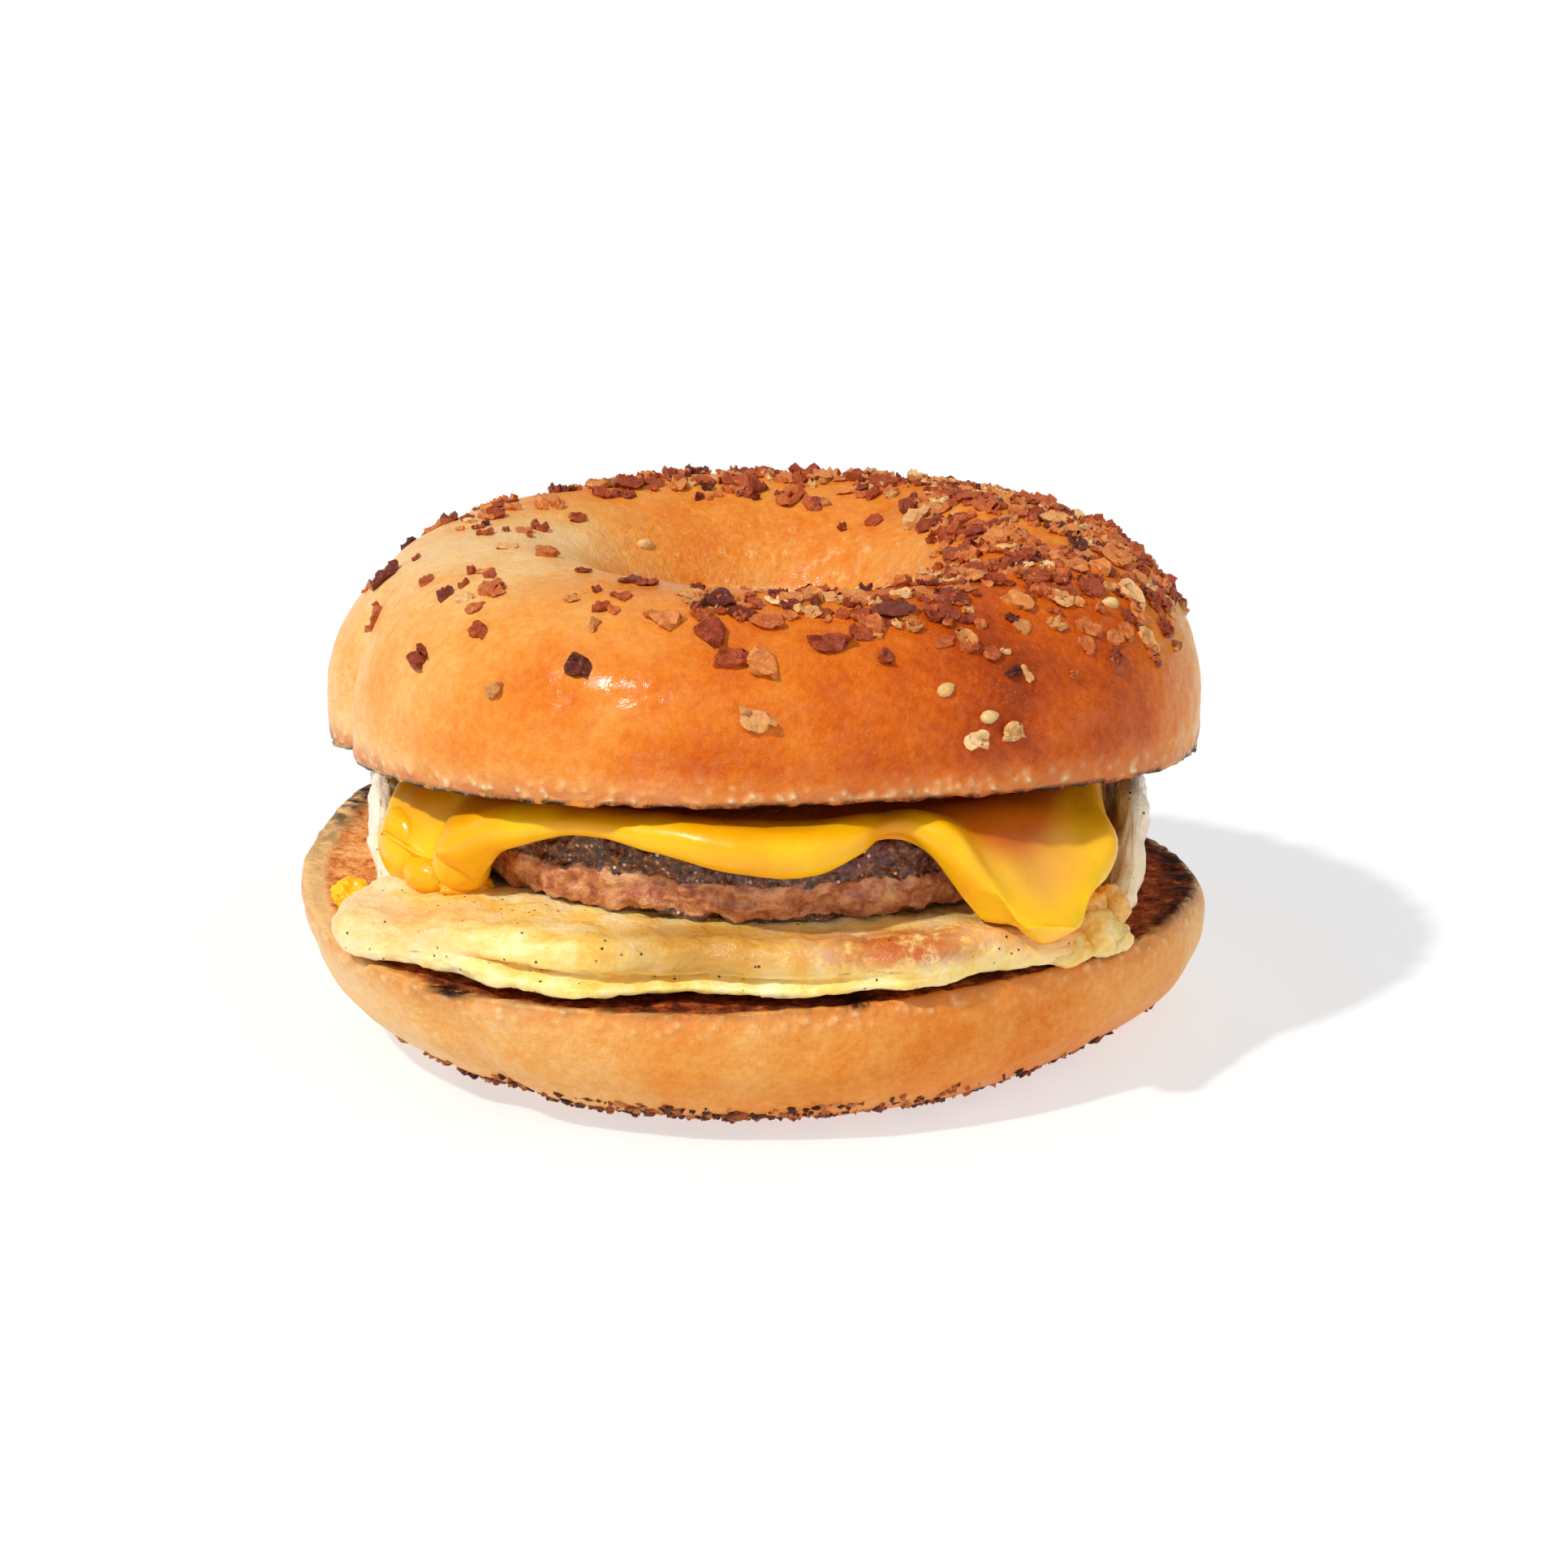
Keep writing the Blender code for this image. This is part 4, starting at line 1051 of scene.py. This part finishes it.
def chopped_bit(number, cuts):
    """A crumb broken off on several sides."""
    draws = random.Random(number)
    bpy.ops.object.select_all(action="DESELECT")
    bpy.ops.mesh.primitive_ico_sphere_add(subdivisions=2, radius=1.0)
    bit = bpy.context.object
    shape("VERT", "SELECT")
    bpy.ops.transform.vertex_random(offset=0.22, uniform=0.3, normal=0.5, seed=number)
    for _ in range(cuts):
        turn = draws.uniform(0.0, 2.0 * math.pi)
        tilt = draws.uniform(-0.5, 0.5)
        away = Vector((math.cos(turn) * math.cos(tilt), math.sin(turn) * math.cos(tilt), math.sin(tilt)))
        bpy.ops.mesh.select_all(action="SELECT")
        near_side = away * draws.uniform(0.62, 0.85)
        bpy.ops.mesh.bisect(plane_co=near_side, plane_no=away, use_fill=True, clear_outer=True)
    bpy.ops.mesh.select_all(action="SELECT")
    bpy.ops.mesh.remove_doubles(threshold=0.05)
    bpy.ops.transform.vertex_random(offset=0.16, uniform=0.6, normal=0.4, seed=number + 20)
    bpy.ops.mesh.normals_make_consistent(inside=False)
    done()
    return bit


def sesame_seed():
    """A flat drop-shaped seed."""
    bpy.ops.object.select_all(action="DESELECT")
    bpy.ops.mesh.primitive_ico_sphere_add(subdivisions=2, radius=1.0)
    seed = bpy.context.object
    x, y, z = vertices_of(seed).T
    slim = 1.0 - 0.35 * smooth(-0.2, 1.0, x)
    move_vertices(seed, x, y * slim, z * slim * 0.8)
    return seed


def join_pieces(name, pieces, finish):
    """Joins pieces into one, with one finish and no solid of its own."""
    bpy.ops.object.select_all(action="DESELECT")
    for piece in pieces:
        piece.select_set(True)
    whole = pieces[0]
    bpy.context.view_layer.objects.active = whole
    if len(pieces) > 1:
        bpy.ops.object.join()
    whole.name = name
    whole.data.name = name
    finish_piece(whole, finish, None)
    return whole


def scatter(name, models, seats, finish):
    """Copies the models to their seats, joins the copies and gives them one finish."""
    copies = []
    for number, (seat, outward, length, width, height, turn, tone) in enumerate(seats):
        model = models[number % len(models)]
        bit = bpy.data.objects.new(name + "_bit", model.data.copy())
        bpy.context.scene.collection.objects.link(bit)
        size = Matrix.Diagonal((length / 2.0, width / 2.0, 1.25 * height, 1.0))
        upright = outward.to_track_quat("Z", "Y").to_matrix().to_4x4()
        bit.data.transform(Matrix.Translation(seat) @ upright @ Matrix.Rotation(turn, 4, "Z") @ size)
        paint(bit, tone=tone)
        copies.append(bit)
    alone(join_pieces(name, copies, finish))
    bpy.ops.object.shade_smooth_by_angle(angle=math.radians(50.0))


def known_and_drawn():
    """The seats of the flakes that are part of the crown's solid, by kind."""
    draws = random.Random(SEED)
    flakes = []
    for azimuth, station, length, width, kind in KNOWN_FLAKES:
        seat, outward = crown_seat(math.radians(azimuth), math.radians(station))
        flakes.append((seat, outward, length * MM, width * MM, 1.2 * MM, draws.uniform(-0.5, 0.5), kind))
    while len(flakes) < FLAKE_COUNT + len(KNOWN_FLAKES):
        azimuth = draws.uniform(-math.pi, math.pi)
        station = math.radians(draws.uniform(30.0, 128.0))
        length = draws.uniform(*FLAKE_LENGTH)
        width = length * draws.uniform(0.55, 0.85)
        height = draws.uniform(*FLAKE_HEIGHT)
        turn = draws.uniform(0.0, math.pi)
        if draws.random() > flake_share(azimuth, station):
            continue
        seat, outward = crown_seat(azimuth, station)
        if any((seat - other[0]).length < FLAKE_SPACING + 0.2 * other[2] for other in flakes):
            continue
        flakes.append((seat, outward, length, width, height, turn, "drawn"))
    return flakes


def small_bits(count):
    """Smaller bits between the large flakes, in drifts."""
    draws = random.Random(SEED + 7)
    bits = []
    while len(bits) < count:
        azimuth = draws.uniform(-math.pi, math.pi)
        station = math.radians(draws.uniform(22.0, 125.0))
        drift = float(lump(30.0 * azimuth, 26.0 * station, 0.0, 6.0, 1.0))
        if draws.random() > flake_share(azimuth, station) ** 1.4 * (1.0 + 1.8 * drift):
            continue
        seat, outward = crown_seat(azimuth, station)
        if any((seat - other[0]).length < 1.0 * MM for other in bits):
            continue
        length = draws.uniform(1.0, 2.4) * MM
        width = length * draws.uniform(0.5, 0.9)
        height = draws.uniform(0.4, 0.9) * MM
        bits.append((seat, outward, length, width, height, draws.uniform(0.0, math.pi), "drawn"))
    return bits


onion_models = [crumpled_flake(number) for number in range(9)]
crumb_models = [chopped_bit(number, 3 + number % 3) for number in range(5)]
seed_model = sesame_seed()
kinds = {"onion": [], "dark_onion": [], "garlic": [], "sesame": []}
KIND_WEIGHTS = (0.66, 0.16, 0.17, 0.01)
draws = random.Random(SEED + 3)
all_bits = known_and_drawn() + small_bits(620)
for seat, outward, length, width, height, turn, kind in all_bits:
    if kind == "drawn":
        kind = draws.choices(tuple(kinds), KIND_WEIGHTS)[0]
        length, width = 1.3 * length, 1.25 * width
    if kind == "sesame":
        length, width, height = 2.7 * MM, 1.8 * MM, 0.9 * MM
    placed = CROWN_PLACE @ seat
    looks = (CROWN_PLACE.to_3x3() @ outward).normalized()
    kinds[kind].append((placed, looks, length, width, height, turn, draws.uniform(0.15, 0.85)))
ONION_TONES = ((0.0, (116, 34, 8)), (0.3, (172, 64, 18)), (0.6, (212, 104, 38)), (1.0, (246, 170, 88)))
DARK_TONES = ((0.0, (62, 18, 6)), (0.4, (118, 38, 12)), (0.7, (160, 62, 20)), (1.0, (208, 110, 50)))
GARLIC_TONES = ((0.0, (196, 116, 52)), (0.4, (226, 154, 84)), (0.7, (244, 190, 122)), (1.0, (255, 222, 168)))
SEED_TONES = ((0.0, (222, 152, 80)), (0.4, (238, 190, 116)), (0.7, (248, 212, 148)), (1.0, (252, 228, 176)))
CRUMB_TONES = ((0.0, (40, 14, 8)), (0.35, (104, 42, 18)), (0.65, (176, 88, 38)), (1.0, (226, 146, 82)))
for name, kind, models, finish in (
    ("onion_flakes", "onion", onion_models, chip_finish("toasted_onion", 0.30, *ONION_TONES)),
    ("dark_onion_flakes", "dark_onion", onion_models, chip_finish("dark_onion", 0.26, *DARK_TONES)),
    ("garlic_bits", "garlic", onion_models, chip_finish("garlic_bits", 0.42, *GARLIC_TONES)),
    ("sesame_seeds", "sesame", [seed_model], chip_finish("sesame_seeds", 0.35, *SEED_TONES)),
):
    scatter(name, models, kinds[kind], finish)


# Toasted crumbs along the foot of the heel


def foot_crumbs(count):
    """Seats of the crumbs that stick to the heel's lower edge, most of them at the front."""
    draws = random.Random(SEED + 11)
    seats = []
    for _ in range(count):
        azimuth = math.radians(draws.triangular(-170.0, -10.0, -98.0))
        height = draws.triangular(0.9, 5.4, 2.4) * MM
        low = (1.0 - height / HEEL_BELLY) ** HEEL_ROUNDNESS
        middle = (HEEL_RADIUS + HEEL_HOLE) / 2.0
        reach = middle + (HEEL_RADIUS - middle) * (1.0 - low) ** (1.0 / HEEL_ROUNDNESS)
        across, along = math.cos(azimuth), math.sin(azimuth)
        x, y, z = heel_form(reach * across, reach * along, height + HEEL_UNDERSIDE_TRIM)
        outward = Vector((across, along, -0.5)).normalized()
        length = draws.uniform(0.8, 2.3) * MM
        size = (length, length * draws.uniform(0.5, 0.9), draws.uniform(0.5, 1.0) * MM)
        spot = Vector((x, y, max(z, 0.5 * MM)))
        seats.append((spot, outward, *size, draws.uniform(0.0, math.pi), draws.random()))
    return seats


crumb_seats = foot_crumbs(420)
loose_crumb = (
    Vector((48.6, -2.0, 0.5)) * MM, Vector((0.0, 0.0, 1.0)), 2.4 * MM, 0.7 * 2.4 * MM, 0.6 * MM, 0.7, 0.3,
)
crumb_seats.append(loose_crumb)
crumb_bits = chip_finish("toast_crumbs", 0.7, *CRUMB_TONES)
scatter("toast_crumbs", crumb_models, crumb_seats, crumb_bits)
for model in onion_models + crumb_models + [seed_model]:
    bpy.data.objects.remove(model, do_unlink=True)


# Lumps of cheese and egg


def soft_lump(number, place, size, turn, uneven, values):
    """A soft lump, with its place and half sizes in millimetres and the values that its finish reads."""
    bpy.ops.object.select_all(action="DESELECT")
    bpy.ops.mesh.primitive_ico_sphere_add(subdivisions=5, radius=1.0)
    piece = bpy.context.object
    x, y, z = vertices_of(piece).T
    swell = 1.0 + uneven * (lump(x, y, z, 0.7, 3.0 * number) + 0.4 * lump(x, y, z, 0.25, 5.0 * number))
    move_vertices(piece, x * swell, y * swell, z * swell)
    scale = Matrix.Diagonal((*(side * MM for side in size), 1.0))
    spot = Matrix.Translation(Vector(place) * MM) @ Matrix.Rotation(math.radians(turn), 4, "Z")
    piece.data.transform(spot @ scale)
    paint(piece, **values)
    return piece


plain_cheese = {"thin": 0.0, "dull": 0.0, "shaded": 0.0}
pooled_cheese = {"thin": 0.55, "dull": 0.0, "shaded": 0.0}
cheese_lumps = [
    soft_lump(1, (-36.0, -31.0, 26.6), (3.6, 2.2, 1.7), 10.0, 0.30, pooled_cheese),
    soft_lump(2, (-50.6, -18.5, 20.9), (2.6, 2.6, 2.0), 20.0, 0.30, plain_cheese),
    soft_lump(3, (9.0, -47.6, 24.6), (3.6, 1.2, 0.8), 4.0, 0.30, plain_cheese),
    soft_lump(4, (-43.4, -22.2, 28.7), (3.5, 4.8, 4.9), -157.0, 0.05, plain_cheese),
    soft_lump(5, (-36.2, -31.2, 29.6), (3.4, 4.1, 4.1), -140.0, 0.05, plain_cheese),
    soft_lump(6, (-40.4, -27.0, 26.6), (3.2, 4.4, 2.6), -148.0, 0.08, pooled_cheese),
]
join_pieces("cheese_drips", cheese_lumps, cheese_surface)

broken_egg = {"wet": 0.0, "browned": 0.15, "pale": 0.0, "yolk": 0.55}
light_egg = {"wet": 0.0, "browned": 0.0, "pale": 0.0, "yolk": 0.25}
egg_lumps = [
    soft_lump(11, (41.4, -34.8, 21.4), (3.4, 3.0, 3.0), 0.0, 0.22, light_egg),
    soft_lump(12, (43.4, -31.2, 23.4), (2.5, 2.8, 2.8), 30.0, 0.28, broken_egg),
    soft_lump(13, (38.2, -37.9, 20.4), (3.6, 2.4, 2.2), 40.0, 0.20, light_egg),
    soft_lump(14, (44.0, -33.6, 20.2), (2.2, 2.2, 2.0), 0.0, 0.28, light_egg),
    soft_lump(15, (41.2, -33.4, 24.6), (2.0, 1.8, 1.7), 15.0, 0.30, broken_egg),
]
join_pieces("egg_crumbs", egg_lumps, egg_surface)

# Floor, light and camera

bpy.ops.object.select_all(action="DESELECT")
bpy.ops.mesh.primitive_plane_add(size=30.0, location=(0.0, 0.0, -0.15 * MM))
floor = bpy.context.object
floor.name = "floor"
paper = Finish("white_paper")
paper_colour = paper.mix(paper.noise(400.0, 2.0, 0.5), (165, 166, 168), (167, 168, 170))
floor.data.materials.append(
    paper.surface(paper_colour, 0.9, emission_color=(1.0, 1.0, 1.0, 1.0), emission_strength=0.6)
)


def sunlight(name, place, toward, energy, angle):
    """A sun that shines from one direction, with its angle in degrees."""
    bpy.ops.object.light_add(type="SUN", location=place)
    light = bpy.context.object
    light.name = name
    light.data.energy = energy
    light.data.angle = math.radians(angle)
    light.rotation_euler = toward.to_track_quat("Z", "Y").to_euler()
    return light


SUN_FROM = math.radians(-140.5)
SUN_HEIGHT = math.radians(49.0)
LEVEL = math.cos(SUN_HEIGHT)
SUN_WAY = Vector((math.cos(SUN_FROM) * LEVEL, math.sin(SUN_FROM) * LEVEL, math.sin(SUN_HEIGHT)))
key = sunlight("key_light", (-0.4, -0.4, 0.6), SUN_WAY, 2.6, 3.0)
key.data.color = (1.0, 0.975, 0.93)
sunlight("fill_light", (0.6, -0.3, 0.4), Vector((0.75, -0.55, 0.36)), 0.6, 70.0)
world = bpy.data.worlds.new("studio")
world.use_nodes = True
world.node_tree.nodes["Background"].inputs["Color"].default_value = (1.0, 1.0, 1.0, 1.0)
world.node_tree.nodes["Background"].inputs["Strength"].default_value = 0.42
bpy.context.scene.world = world
bpy.context.scene.view_settings.view_transform = "Standard"

CAMERA_HEIGHT = math.radians(18.0)
CAMERA_DISTANCE = 850.0 * MM
AIM = Vector((3.4 * MM, 0.0, 29.3 * MM))
back = Vector((0.0, -math.cos(CAMERA_HEIGHT), math.sin(CAMERA_HEIGHT)))
bpy.ops.object.camera_add(location=AIM + CAMERA_DISTANCE * back)
camera = bpy.context.object
camera.rotation_euler = back.to_track_quat("Z", "Y").to_euler()
camera.data.sensor_width = 36.0
camera.data.lens = 153.2
bpy.context.scene.camera = camera
